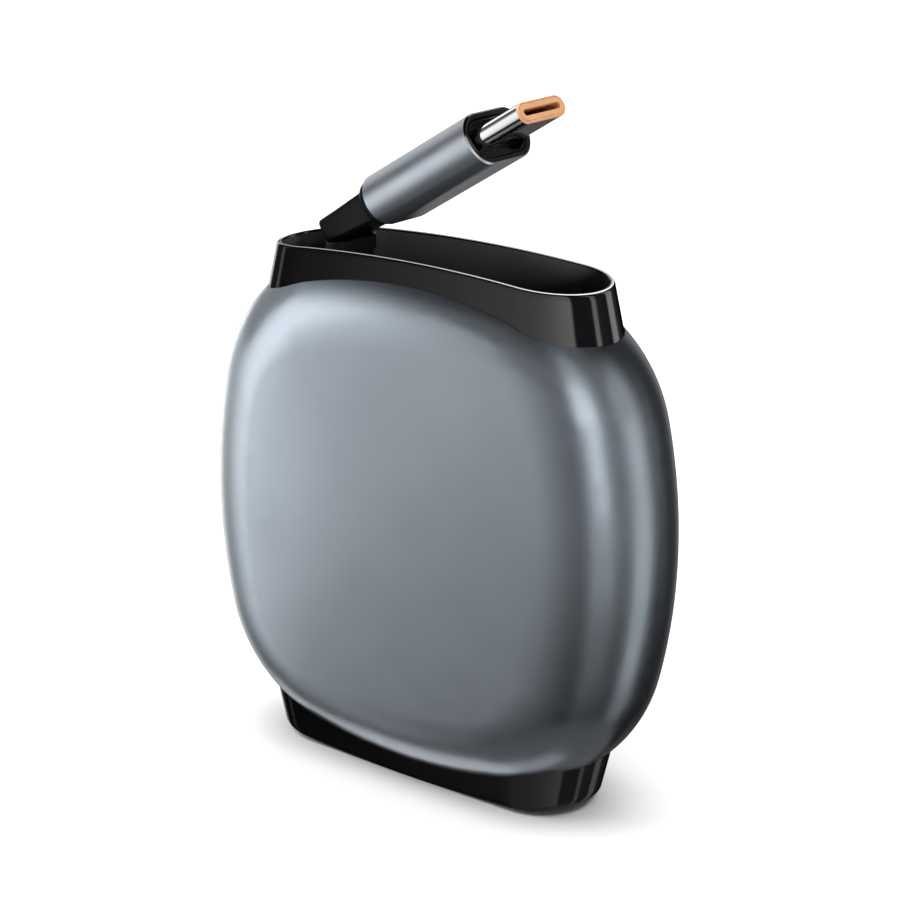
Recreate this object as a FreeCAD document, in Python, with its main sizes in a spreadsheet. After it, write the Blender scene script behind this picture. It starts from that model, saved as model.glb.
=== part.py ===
import FreeCAD, Part
import math
import os
import re
import Sketcher
from FreeCAD import Placement, Rotation, Vector

# Retractable two-way USB-C cable: a pillow-edged metal puck with a black dock at each end, a flat cable
# on a spring reel inside it, and one plug for each dock. The top plug stands lifted out of its dock and the
# bottom plug lies stowed. X runs across the puck, Y through it (front at -Y) and Z up, from the lower dock's rim.

doc = FreeCAD.newDocument("retractable_cable")

# Driving dimensions, millimetres and degrees. Heights and offsets count from the puck's centre, plug lengths
# from the point where the cable bends, along the plug's axis.
DRIVING_SIZES = {
    "case_width": 60.4,
    "case_height": 61.5,
    "case_depth": 23.0,
    "case_wall": 1.6,
    "corner_radius": 18.8,
    "side_bow_radius": 65.0,
    "edge_land": 0.5,
    "rim_rise": 31.04,
    "rim_arch_radius": 194.0,
    "rim_half_length": 21.63,
    "rim_half_width": 6.65,
    "rim_wall": 0.6,
    "dock_base_height": 22.85,
    "dock_base_half_length": 23.55,
    "dock_base_half_width": 7.55,
    "dock_floor": 1.3,
    "dock_clearance": 0.08,
    "recess_draft": 0.3,
    "cable_offset": 12.8,
    "cable_width": 7.2,
    "cable_thickness": 1.5,
    "cable_slot_clearance": 0.3,
    "cable_bend_drop": 2.25,
    "cable_bend_radius": 4.5,
    "cable_gap": 0.1,
    "stowed_gap": 0.39,
    "plug_lift": 4.8,
    "plug_tilt": 31.2,
    "sleeve_start": 7.5,
    "sleeve_length": 16.6,
    "sleeve_width": 11.0,
    "sleeve_thickness": 6.0,
    "sleeve_wall": 0.7,
    "sleeve_chamfer": 0.25,
    "insert_length": 3.0,
    "insert_recess": 0.2,
    "plug_fit": 0.02,
    "connector_width": 8.25,
    "connector_thickness": 2.4,
    "connector_wall": 0.25,
    "connector_reach": 6.65,
    "connector_depth": 6.0,
    "liner_recess": 0.12,
    "liner_slot_width": 6.7,
    "liner_slot_height": 0.84,
    "liner_slot_depth": 5.4,
    "contact_pitch": 0.5,
    "contact_width": 0.26,
    "contact_thickness": 0.12,
    "contact_length": 4.2,
    "contact_setback": 0.9,
    "contact_count": 12,
    "board_width": 8.6,
    "board_thickness": 0.8,
    "board_length": 7.2,
    "chip_size": 3.0,
    "chip_height": 0.7,
    "chip_setback": 2.0,
    "relief_width": 7.6,
    "knuckle_radius": 1.5,
    "relief_half_height": 1.9,
    "relief_round": 0.5,
    "relief_gap": 0.1,
    "relief_collar_length": 0.8,
    "relief_collar_inset": 0.3,
    "boot_width": 7.4,
    "boot_thickness": 3.0,
    "boot_length": 1.6,
    "axle_radius": 2.0,
    "axle_seat": 0.02,
    "axle_running": 0.05,
    "axle_chamfer": 0.3,
    "arbor_radius": 4.0,
    "hub_radius": 6.0,
    "winding_gap": 0.05,
    "winding_side_gap": 0.1,
    "reel_gap": 1.25,
    "flange_lip": 0.55,
    "flange_thickness": 1.2,
    "track_flange_thickness": 1.7,
    "track_radius": 10.0,
    "track_depth": 1.1,
    "track_width": 2.6,
    "collar_radius": 4.0,
    "ball_radius": 1.2,
    "ball_play": 0.05,
    "ball_slot_half_length": 2.2,
    "drum_radius": 14.0,
    "drum_wall": 0.9,
    "drum_end_gap": 0.6,
    "spring_thickness": 0.25,
    "spring_turns": 6,
    "spring_end_gap": 0.2,
    "spring_side_gap": 0.3,
    "plate_gap": 0.3,
    "plate_thickness": 1.5,
    "plate_radius": 16.0,
    "screw_circle_radius": 13.0,
    "screw_count": 3,
    "screw_radius": 0.8,
    "screw_head_radius": 1.5,
    "screw_head_height": 0.8,
    "screw_tip_gap": 0.2,
    "screw_fit": 0.03,
    "screw_hole_spare": 0.3,
    "boss_radius": 2.2,
    "post_radius": 2.2,
    "post_flange_gap": 2.6,
    "post_across_share": 0.7954,
    "post_up_share": 0.606,
    "post_gap": 0.05,
    "peg_radius": 1.0,
    "peg_length": 3.0,
    "peg_fit": 0.03,
    "rib_across": 14.0,
    "rib_thickness": 1.2,
    "rib_height": 4.2,
    "rib_start": 4.4,
    "rib_gap": 0.1,
}

sizes = doc.addObject("Spreadsheet::Sheet", "Sizes")
for row, (alias, amount) in enumerate(DRIVING_SIZES.items(), start=1):
    sizes.set(f"A{row}", alias)
    sizes.set(f"B{row}", str(amount))
    sizes.setAlias(f"B{row}", alias)
doc.recompute()

# Sizes that several pieces share, worked out from the driving dimensions.
DOCK_FLOOR_HEIGHT = "(dock_base_height + dock_floor)"
STOWED_PIVOT = f"({DOCK_FLOOR_HEIGHT} + sleeve_thickness / 2 + stowed_gap)"
CABLE_BEND_HEIGHT = "(dock_base_height - cable_bend_drop)"
FLANGE_RADIUS = "(dock_base_height - reel_gap)"
WINDING_RADIUS = f"({FLANGE_RADIUS} - flange_lip)"
POST_REACH = f"({FLANGE_RADIUS} + post_flange_gap + post_radius)"
POST_ACROSS = f"({POST_REACH} * post_across_share)"
POST_UP = f"({POST_REACH} * post_up_share)"
WINDING_SIDE = "(cable_width / 2 + winding_side_gap)"
TRACK_FACE = "(cable_width / 2 + winding_side_gap + track_flange_thickness)"
DRUM_FLOOR = "(cable_width / 2 + winding_side_gap + flange_thickness)"
PLATE_FACE = f"({TRACK_FACE} + plate_gap)"
PLATE_SEAT = f"({PLATE_FACE} + plate_thickness)"
SHELL_FLOOR = "(case_depth / 2 - case_wall)"
DRUM_END = f"({SHELL_FLOOR} - drum_end_gap)"
SCREW_LENGTH = f"({SHELL_FLOOR} - screw_tip_gap - {PLATE_FACE})"
SLEEVE_END = "(sleeve_start + sleeve_length)"
CONNECTOR_TIP = f"({SLEEVE_END} + connector_reach)"
CONNECTOR_START = f"({SLEEVE_END} - connector_depth)"
AXLE_END = f"({SHELL_FLOOR} + case_wall / 2)"

X_AXIS = Vector(1, 0, 0)
Y_AXIS = Vector(0, 1, 0)
Z_AXIS = Vector(0, 0, 1)


def number(expression):
    """The value of a size expression, read from the sheet."""
    return float(sizes.evalExpression(expression))


def bind(target, field, expression):
    """Tie a property to the sheet; bare words in the expression are the sheet's aliases."""
    linked = re.sub(r"[a-z_]{3,}", lambda word: f"Sizes.{word.group()}", expression)
    target.setExpression(field, linked)


def new_body(label):
    body = doc.addObject("PartDesign::Body", label)
    body.Label = label
    return body


def place(target, across="0", up="0", axis=Y_AXIS, angle="0"):
    """Put a piece at (across, 0, up), turned about an axis, all tied to the sheet."""
    target.Placement = Placement(Vector(), Rotation(axis, number(angle)))
    bind(target, "Placement.Base.x", across)
    bind(target, "Placement.Base.z", up)
    bind(target, "Placement.Rotation.Angle", angle)


def new_sketch(body, name, plane, offset="0"):
    """A sketch on one of the body's own origin planes, moved along that plane's normal."""
    sketch = body.newObject("Sketcher::SketchObject", name)
    planes = {feature.Role: feature for feature in body.Origin.OriginFeatures}
    sketch.AttachmentSupport = [(planes[plane], "")]
    sketch.MapMode = "FlatFace"
    bind(sketch, "AttachmentOffset.Base.z", offset)
    return sketch


def measure(sketch, kind, elements, expression):
    """Add a driving dimension to a sketch and tie it to the sheet."""
    index = sketch.addConstraint(Sketcher.Constraint(kind, *elements, number(expression)))
    bind(sketch, f"Constraints[{index}]", expression)


def pin_point(sketch, edge, end, across, up):
    """Fix a point of the sketch at (across, up) from the sketch's origin."""
    for kind, axis, expression in (("DistanceX", -2, across), ("DistanceY", -1, up)):
        reach = number(expression)
        if abs(reach) < 1e-9:
            sketch.addConstraint(Sketcher.Constraint("PointOnObject", edge, end, axis))
        elif reach > 0:
            measure(sketch, kind, (-1, 1, edge, end), expression)
        else:
            measure(sketch, kind, (edge, end, -1, 1), f"-({expression})")


def polygon(sketch, corners):
    """A closed outline of straight edges through corners given as size expressions."""
    spots = [Vector(number(across), number(up), 0) for across, up in corners]
    edges = [
        sketch.addGeometry(Part.LineSegment(spot, spots[(index + 1) % len(spots)]))
        for index, spot in enumerate(spots)
    ]
    for index, edge in enumerate(edges):
        follower = edges[(index + 1) % len(edges)]
        sketch.addConstraint(Sketcher.Constraint("Coincident", edge, 2, follower, 1))
        pin_point(sketch, edge, 1, *corners[index])


def box_outline(sketch, left, right, low, high):
    polygon(sketch, [(left, low), (right, low), (right, high), (left, high)])


def circle(sketch, radius, across="0", up="0"):
    centre = Vector(number(across), number(up), 0)
    edge = sketch.addGeometry(Part.Circle(centre, Z_AXIS, number(radius)))
    measure(sketch, "Radius", (edge,), radius)
    pin_point(sketch, edge, 3, across, up)


def stadium(sketch, half_length, half_width, upright=False, across="0", up="0"):
    """Two straight sides joined by half rounds, lying along the sketch's X or standing along its Y."""
    reach = f"({half_length} - ({half_width}))"
    radius = number(half_width)
    turn = math.pi / 2 if upright else 0.0
    along = Vector(math.cos(turn), math.sin(turn), 0)
    aside = Vector(-math.sin(turn), math.cos(turn), 0)
    centre = Vector(number(across), number(up), 0)
    first = centre + along * number(reach)
    second = centre - along * number(reach)
    quarter = math.pi / 2
    upper = sketch.addGeometry(Part.LineSegment(second + aside * radius, first + aside * radius))
    first_round = sketch.addGeometry(
        Part.ArcOfCircle(Part.Circle(first, Z_AXIS, radius), turn - quarter, turn + quarter))
    lower = sketch.addGeometry(Part.LineSegment(first - aside * radius, second - aside * radius))
    second_round = sketch.addGeometry(
        Part.ArcOfCircle(Part.Circle(second, Z_AXIS, radius), turn + quarter, turn + 3 * quarter))
    for joint in ((upper, 2, first_round, 2), (first_round, 1, lower, 1),
                  (lower, 2, second_round, 2), (second_round, 1, upper, 1)):
        sketch.addConstraint(Sketcher.Constraint("Tangent", *joint))
    sketch.addConstraint(Sketcher.Constraint("Equal", first_round, second_round))
    measure(sketch, "Radius", (first_round,), half_width)
    if upright:
        pin_point(sketch, first_round, 3, across, f"{up} + {reach}")
        pin_point(sketch, second_round, 3, across, f"{up} - {reach}")
    else:
        pin_point(sketch, first_round, 3, f"{across} + {reach}", up)
        pin_point(sketch, second_round, 3, f"{across} - {reach}", up)


def pad(body, name, sketch, length, both_sides=False, backwards=False):
    feature = body.newObject("PartDesign::Pad", name)
    feature.Profile = sketch
    feature.SideType = "Symmetric" if both_sides else "One side"
    feature.Reversed = backwards
    bind(feature, "Length", length)
    return feature


def pocket(body, name, sketch, length):
    """Cut a profile into the body against its sketch's normal."""
    feature = body.newObject("PartDesign::Pocket", name)
    feature.Profile = sketch
    bind(feature, "Length", length)
    return feature


def loft(body, name, kind, first, second):
    feature = body.newObject(f"PartDesign::{kind}Loft", name)
    feature.Profile = first
    feature.Sections = [second]
    feature.Ruled = True
    return feature


def revolve(body, name, sketch):
    """Turn a profile a full circle about its sketch's upright axis."""
    feature = body.newObject("PartDesign::Revolution", name)
    feature.Profile = sketch
    feature.ReferenceAxis = (sketch, ["V_Axis"])
    feature.Angle = 360.0
    return feature


def ring_copies(body, name, originals, count):
    """Repeat features round the reel's axis."""
    axes = {feature.Role: feature for feature in body.Origin.OriginFeatures}
    feature = body.newObject("PartDesign::PolarPattern", name)
    feature.Originals = originals
    feature.Axis = (axes["Y_Axis"], [""])
    feature.Angle = 360.0
    bind(feature, "Occurrences", count)
    body.Tip = feature
    return feature


def face_furthest(feature, direction):
    """The name of the flat face that lies furthest along a direction."""
    doc.recompute()
    flat = [
        (face.CenterOfMass.dot(direction), index)
        for index, face in enumerate(feature.Shape.Faces, start=1)
        if isinstance(face.Surface, Part.Plane)
    ]
    return f"Face{max(flat)[1]}"


def dress(body, name, kind, base, faces, field, size):
    """Round or bevel every edge of the named faces."""
    feature = body.newObject(f"PartDesign::{kind}", name)
    feature.Base = (base, faces)
    bind(feature, field, size)
    return feature


def joined(kind, label, base, tool):
    """A Part boolean of two objects, such as Cut, Common or Fuse."""
    feature = doc.addObject(f"Part::{kind}", label)
    feature.Label = label
    feature.Base = base
    feature.Tool = tool
    return feature


def puck_outline(sketch, inset):
    """A bowed square: four shallow side arcs joined by tangent corner arcs, drawn in by inset."""
    bow = number(f"side_bow_radius - {inset}")
    corner = number(f"corner_radius - {inset}")
    side_centre = Vector(number("case_width / 2 - side_bow_radius"), 0, 0)
    top_centre = Vector(0, number("case_height / 2 - side_bow_radius"), 0)
    span = top_centre - side_centre
    outward = Vector(-span.y, span.x, 0).normalize()
    reach = math.sqrt((bow - corner) ** 2 - (span.Length / 2) ** 2)
    corner_centre = (side_centre + top_centre) / 2 + outward * reach
    side_angle = math.atan2(corner_centre.y, corner_centre.x - side_centre.x)
    top_angle = math.atan2(corner_centre.y - top_centre.y, corner_centre.x)
    left_corner = Vector(-corner_centre.x, corner_centre.y, 0)
    half_turn = math.pi
    arcs = [
        (side_centre, bow, -side_angle, side_angle),
        (corner_centre, corner, side_angle, top_angle),
        (top_centre, bow, top_angle, half_turn - top_angle),
        (left_corner, corner, half_turn - top_angle, half_turn - side_angle),
        (-side_centre, bow, half_turn - side_angle, half_turn + side_angle),
        (-corner_centre, corner, half_turn + side_angle, half_turn + top_angle),
        (-top_centre, bow, half_turn + top_angle, 2 * half_turn - top_angle),
        (-left_corner, corner, 2 * half_turn - top_angle, 2 * half_turn - side_angle),
    ]
    for centre, radius, start, end in arcs:
        sketch.addGeometry(Part.ArcOfCircle(Part.Circle(centre, Z_AXIS, radius), start, end))
    for index in range(len(arcs)):
        sketch.addConstraint(Sketcher.Constraint("Tangent", index, 2, (index + 1) % len(arcs), 1))
        if index > 1:
            sketch.addConstraint(Sketcher.Constraint("Equal", index % 2, index))
    measure(sketch, "Radius", (0,), f"side_bow_radius - {inset}")
    measure(sketch, "Radius", (1,), f"corner_radius - {inset}")
    pin_point(sketch, 0, 3, "case_width / 2 - side_bow_radius", "0")
    pin_point(sketch, 2, 3, "0", "case_height / 2 - side_bow_radius")
    pin_point(sketch, 4, 3, "side_bow_radius - case_width / 2", "0")
    pin_point(sketch, 6, 3, "0", "side_bow_radius - case_height / 2")


def half_puck(name, rear, inset):
    """One half of the puck as a solid: the outline padded from the middle plane, its far edge rounded over."""
    body = new_body(name)
    place(body, up="rim_rise")
    outline = new_sketch(body, f"{name}_outline", "XZ_Plane")
    puck_outline(outline, inset)
    block = pad(body, f"{name}_pad", outline, f"case_depth / 2 - {inset}", backwards=rear)
    far_face = face_furthest(block, Y_AXIS if rear else -Y_AXIS)
    dress(body, f"{name}_round", "Fillet", block, [far_face],
          "Radius", f"case_depth / 2 - edge_land - {inset}")
    return body


def dock_block(name, growth, turned):
    """The dock's tapered outer form, longer and wider at its base, grown by a clearance where it is a cutter."""
    body = new_body(name)
    place(body, up="rim_rise", angle="180" if turned else "0")
    base = new_sketch(body, f"{name}_base", "XY_Plane", f"dock_base_height - {growth}")
    stadium(base, f"dock_base_half_length + {growth}", f"dock_base_half_width + {growth}")
    rim = new_sketch(body, f"{name}_rim", "XY_Plane", "rim_rise")
    stadium(rim, f"rim_half_length + {growth}", f"rim_half_width + {growth}")
    loft(body, f"{name}_walls", "Additive", base, rim)
    return body


# Docks: glossy black mouldings that cradle a plug. The rim is arched, the recess has a little draft, and
# the flat cable comes up through a slot in its floor.
def make_dock(label, turned):
    dock = dock_block(label, "0", turned)
    arch = new_sketch(dock, f"{label}_arch", "XZ_Plane")
    half_span = number("dock_base_half_length")
    arch_radius = number("rim_arch_radius")
    arch_centre = number("rim_rise - rim_arch_radius")
    half_angle = math.asin(half_span / arch_radius)
    quarter = math.pi / 2
    arc_height = arch_centre + arch_radius * math.cos(half_angle)
    top = number("rim_rise + dock_floor")
    arc = arch.addGeometry(Part.ArcOfCircle(
        Part.Circle(Vector(0, arch_centre, 0), Z_AXIS, arch_radius), quarter - half_angle, quarter + half_angle))
    spots = [Vector(-half_span, arc_height, 0), Vector(-half_span, top, 0),
             Vector(half_span, top, 0), Vector(half_span, arc_height, 0)]
    lines = [arch.addGeometry(Part.LineSegment(*pair)) for pair in zip(spots, spots[1:])]
    loop = [arc] + lines
    for index, edge in enumerate(loop):
        follower = loop[(index + 1) % len(loop)]
        arch.addConstraint(Sketcher.Constraint("Coincident", edge, 2, follower, 1))
    pin_point(arch, arc, 3, "0", "rim_rise - rim_arch_radius")
    measure(arch, "Radius", (arc,), "rim_arch_radius")
    pin_point(arch, lines[0], 2, "-dock_base_half_length", "rim_rise + dock_floor")
    pin_point(arch, lines[1], 2, "dock_base_half_length", "rim_rise + dock_floor")
    arch.addConstraint(Sketcher.Constraint("Vertical", lines[0]))
    arch.addConstraint(Sketcher.Constraint("Vertical", lines[2]))
    arch_cut = pocket(dock, f"{label}_arch_cut", arch, "4 * dock_base_half_width")
    arch_cut.SideType = "Symmetric"

    floor = new_sketch(dock, f"{label}_floor", "XY_Plane", DOCK_FLOOR_HEIGHT)
    stadium(floor, "rim_half_length - rim_wall - recess_draft", "rim_half_width - rim_wall - recess_draft")
    mouth = new_sketch(dock, f"{label}_mouth", "XY_Plane", "rim_rise")
    stadium(mouth, "rim_half_length - rim_wall", "rim_half_width - rim_wall")
    loft(dock, f"{label}_recess", "Subtractive", floor, mouth)

    slot = new_sketch(dock, f"{label}_slot", "XY_Plane", DOCK_FLOOR_HEIGHT)
    stadium(slot, "cable_width / 2 + cable_slot_clearance", "cable_thickness / 2 + cable_slot_clearance",
            upright=True, across="-cable_offset")
    pocket(dock, f"{label}_slot_cut", slot, "2 * dock_floor")
    return dock


# Shells: two drawn metal halves that close on the middle plane round both docks. Moulded-in posts with pegs
# and sockets line them up, and short ribs stand under each dock's floor.
def make_shell(label, rear):
    outer = half_puck(f"{label}_outer", rear, "0")
    inner = half_puck(f"{label}_inner", rear, "case_wall")
    hollow = joined("Cut", f"{label}_hollow", outer, inner)

    fittings = new_body(f"{label}_fittings")
    place(fittings, up="rim_rise")

    def start(depth):
        # The XZ plane's normal points to the front, so the rear half starts at a negative offset.
        return f"-({depth})" if rear else depth

    posts = new_sketch(fittings, f"{label}_post_plan", "XZ_Plane", start("post_gap"))
    ribs = new_sketch(fittings, f"{label}_rib_plan", "XZ_Plane", start("rib_start"))
    for across_sign in ("", "-"):
        for up_sign in ("", "-"):
            circle(posts, "post_radius", f"{across_sign}{POST_ACROSS}", f"{up_sign}{POST_UP}")
            if rear:
                circle(posts, "peg_radius + peg_fit", f"{across_sign}{POST_ACROSS}", f"{up_sign}{POST_UP}")
            box_outline(ribs,
                        f"{across_sign}rib_across - rib_thickness / 2",
                        f"{across_sign}rib_across + rib_thickness / 2",
                        f"{up_sign}(dock_base_height - rib_gap - rib_height)",
                        f"{up_sign}(dock_base_height - rib_gap)")
    pad(fittings, f"{label}_posts", posts, "case_depth / 2", backwards=rear)
    pad(fittings, f"{label}_ribs", ribs, "case_depth / 2", backwards=rear)
    if rear:
        arbor = new_sketch(fittings, f"{label}_arbor_plan", "XZ_Plane", start(f"{DRUM_FLOOR} + spring_side_gap"))
        circle(arbor, "arbor_radius")
        pad(fittings, f"{label}_arbor", arbor, "case_depth / 2", backwards=rear)
    else:
        bosses = new_sketch(fittings, f"{label}_boss_plan", "XZ_Plane", start(PLATE_SEAT))
        circle(bosses, "boss_radius", up="screw_circle_radius")
        boss = pad(fittings, f"{label}_boss", bosses, "case_depth / 2")
        ring_copies(fittings, f"{label}_bosses", [boss], "screw_count")
    inside = joined("Common", f"{label}_inside", outer, fittings)
    whole = joined("Fuse", f"{label}_whole", hollow, inside)

    cutters = new_body(f"{label}_holes")
    place(cutters, up="rim_rise")
    if rear:
        seat = new_sketch(cutters, f"{label}_seat_plan", "XZ_Plane", start(DRUM_FLOOR))
        circle(seat, "axle_radius + axle_seat")
        pad(cutters, f"{label}_seat", seat, f"{AXLE_END} + axle_seat - {DRUM_FLOOR}", backwards=True)
    else:
        pilot_plan = new_sketch(cutters, f"{label}_pilot_plan", "XZ_Plane", PLATE_FACE)
        circle(pilot_plan, "screw_radius + screw_fit", up="screw_circle_radius")
        pilot = pad(cutters, f"{label}_pilot", pilot_plan, f"{SCREW_LENGTH} + screw_hole_spare")
        ring_copies(cutters, f"{label}_pilots", [pilot], "screw_count")
    drilled = joined("Cut", f"{label}_drilled", whole, cutters)

    upper = dock_block(f"{label}_upper_opening", "dock_clearance", turned=False)
    lower = dock_block(f"{label}_lower_opening", "dock_clearance", turned=True)
    openings = joined("Fuse", f"{label}_openings", upper, lower)
    if rear:
        return joined("Cut", label, drilled, openings)
    opened = joined("Cut", f"{label}_opened", drilled, openings)
    pegs = new_body(f"{label}_pegs")
    place(pegs, up="rim_rise")
    peg_plan = new_sketch(pegs, f"{label}_peg_plan", "XZ_Plane", "post_gap")
    for across_sign in ("", "-"):
        for up_sign in ("", "-"):
            circle(peg_plan, "peg_radius", f"{across_sign}{POST_ACROSS}", f"{up_sign}{POST_UP}")
    pad(pegs, f"{label}_peg_set", peg_plan, "peg_length", backwards=True)
    return joined("Fuse", label, opened, pegs)


# Reel: everything turned about the puck's own axis, drawn as half profiles with the radius along X and the
# depth along Y.
def turned_piece(label, corners):
    body = new_body(label)
    place(body, up="rim_rise")
    profile = new_sketch(body, f"{label}_profile", "XY_Plane")
    polygon(profile, corners)
    revolve(body, f"{label}_turning", profile)
    return body


def make_axle():
    """Steel pin: seated in the rear shell's arbor, its nose in the ratchet plate."""
    return turned_piece("axle", [
        ("0", f"-{PLATE_SEAT}"),
        ("axle_radius - axle_chamfer", f"-{PLATE_SEAT}"),
        ("axle_radius", f"axle_chamfer - {PLATE_SEAT}"),
        ("axle_radius", f"{AXLE_END} - axle_chamfer"),
        ("axle_radius - axle_chamfer", AXLE_END),
        ("0", AXLE_END),
    ])


def make_spool():
    """Moulded hub with the collar for the front flange, the rear flange and the spring's drum."""
    return turned_piece("spool", [
        ("axle_radius + axle_running", f"-{TRACK_FACE}"),
        ("collar_radius", f"-{TRACK_FACE}"),
        ("collar_radius", f"-{WINDING_SIDE}"),
        ("hub_radius", f"-{WINDING_SIDE}"),
        ("hub_radius", WINDING_SIDE),
        (FLANGE_RADIUS, WINDING_SIDE),
        (FLANGE_RADIUS, DRUM_FLOOR),
        ("drum_radius", DRUM_FLOOR),
        ("drum_radius", DRUM_END),
        ("drum_radius - drum_wall", DRUM_END),
        ("drum_radius - drum_wall", DRUM_FLOOR),
        ("axle_radius + axle_running", DRUM_FLOOR),
    ])


def make_spool_flange():
    """Front flange, pressed on the hub's collar, with the round track for the latch ball in its face."""
    return turned_piece("spool_flange", [
        ("collar_radius + plug_fit", f"-{WINDING_SIDE}"),
        (FLANGE_RADIUS, f"-{WINDING_SIDE}"),
        (FLANGE_RADIUS, f"-{TRACK_FACE}"),
        ("track_radius + track_width / 2", f"-{TRACK_FACE}"),
        ("track_radius + track_width / 2", f"track_depth - {TRACK_FACE}"),
        ("track_radius - track_width / 2", f"track_depth - {TRACK_FACE}"),
        ("track_radius - track_width / 2", f"-{TRACK_FACE}"),
        ("collar_radius + plug_fit", f"-{TRACK_FACE}"),
    ])


def make_wound_cable():
    """The cable's turns on the hub, as one roll."""
    return turned_piece("wound_cable", [
        ("hub_radius + winding_gap", "-cable_width / 2"),
        (WINDING_RADIUS, "-cable_width / 2"),
        (WINDING_RADIUS, "cable_width / 2"),
        ("hub_radius + winding_gap", "cable_width / 2"),
    ])


def make_mainspring():
    """Spiral steel strip of half-turn arcs on two centres, from the arbor out to the drum's wall."""
    thickness = number("spring_thickness")
    inner = number("arbor_radius + spring_end_gap")
    outer = number("drum_radius - drum_wall - spring_end_gap - spring_thickness")
    half_turns = int(2 * number("spring_turns"))
    step = (outer - inner) / half_turns
    depth = number(f"{DRUM_FLOOR} + spring_side_gap")
    edges = []
    for growth in (0.0, thickness):
        arcs = []
        for index in range(half_turns):
            radius = inner + index * step + growth
            middle = step * (index % 2)
            sign = 1 if index % 2 == 0 else -1
            start = Vector(middle + sign * radius, depth, 0)
            crest = Vector(middle, depth, sign * radius)
            end = Vector(middle - sign * radius, depth, 0)
            arcs.append(Part.Arc(start, crest, end).toShape())
        edges.append(arcs)
    low_edge, high_edge = edges
    first_cap = Part.makeLine(low_edge[0].valueAt(low_edge[0].FirstParameter),
                              high_edge[0].valueAt(high_edge[0].FirstParameter))
    last_cap = Part.makeLine(low_edge[-1].valueAt(low_edge[-1].LastParameter),
                             high_edge[-1].valueAt(high_edge[-1].LastParameter))
    loop = Part.Wire(Part.__sortEdges__(low_edge + high_edge + [first_cap, last_cap]))
    strip_width = number(f"{DRUM_END} - {DRUM_FLOOR} - 2 * spring_side_gap")
    spring = doc.addObject("Part::Feature", "mainspring")
    spring.Label = "mainspring"
    spring.Shape = Part.Face(loop).extrude(Y_AXIS * strip_width)
    place(spring, up="rim_rise")
    return spring


# Ball latch: a plate screwed to the front shell holds a steel ball in a radial slot, half sunk in the
# flange's track.
def make_ratchet_plate():
    body = new_body("ratchet_plate")
    place(body, up="rim_rise")
    plan = new_sketch(body, "plate_plan", "XZ_Plane", PLATE_FACE)
    circle(plan, "plate_radius")
    circle(plan, "axle_radius + axle_seat")
    pad(body, "plate_pad", plan, "plate_thickness")
    ball_slot = new_sketch(body, "plate_slot_plan", "XZ_Plane", PLATE_FACE)
    stadium(ball_slot, "ball_slot_half_length", "ball_radius + ball_play", across="track_radius")
    slot = pocket(body, "plate_slot", ball_slot, "2 * ball_radius + 2 * ball_play - track_depth - plate_gap")
    slot.Reversed = True
    head = new_sketch(body, "plate_head_plan", "XZ_Plane", PLATE_FACE)
    circle(head, "screw_head_radius + screw_fit", up="screw_circle_radius")
    neck = new_sketch(body, "plate_neck_plan", "XZ_Plane", f"{PLATE_FACE} + screw_head_height")
    circle(neck, "screw_radius + screw_fit", up="screw_circle_radius")
    sink = loft(body, "plate_sink", "Subtractive", head, neck)
    shank = new_sketch(body, "plate_shank_plan", "XZ_Plane", PLATE_SEAT)
    circle(shank, "screw_radius + screw_fit", up="screw_circle_radius")
    hole = pocket(body, "plate_hole", shank, "plate_thickness")
    ring_copies(body, "plate_holes", [sink, hole], "screw_count")
    return body


def make_plate_screws():
    """Countersunk screws, flush with the plate."""
    body = new_body("plate_screws")
    place(body, up="rim_rise")
    head = new_sketch(body, "screw_head_plan", "XZ_Plane", PLATE_FACE)
    circle(head, "screw_head_radius", up="screw_circle_radius")
    neck = new_sketch(body, "screw_neck_plan", "XZ_Plane", f"{PLATE_FACE} + screw_head_height")
    circle(neck, "screw_radius", up="screw_circle_radius")
    cone = loft(body, "screw_cone", "Additive", head, neck)
    shank_plan = new_sketch(body, "screw_shank_plan", "XZ_Plane", f"{PLATE_FACE} + screw_head_height")
    circle(shank_plan, "screw_radius", up="screw_circle_radius")
    shank = pad(body, "screw_shank", shank_plan, f"{SCREW_LENGTH} - screw_head_height")
    ring_copies(body, "screw_set", [cone, shank], "screw_count")
    return body


def make_ratchet_ball():
    ball = doc.addObject("Part::Sphere", "ratchet_ball")
    ball.Label = "ratchet_ball"
    bind(ball, "Radius", "ball_radius")
    place(ball, across="track_radius", up="rim_rise")
    bind(ball, "Placement.Base.y", f"track_depth - {TRACK_FACE} - ball_radius - ball_play")
    return ball


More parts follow.
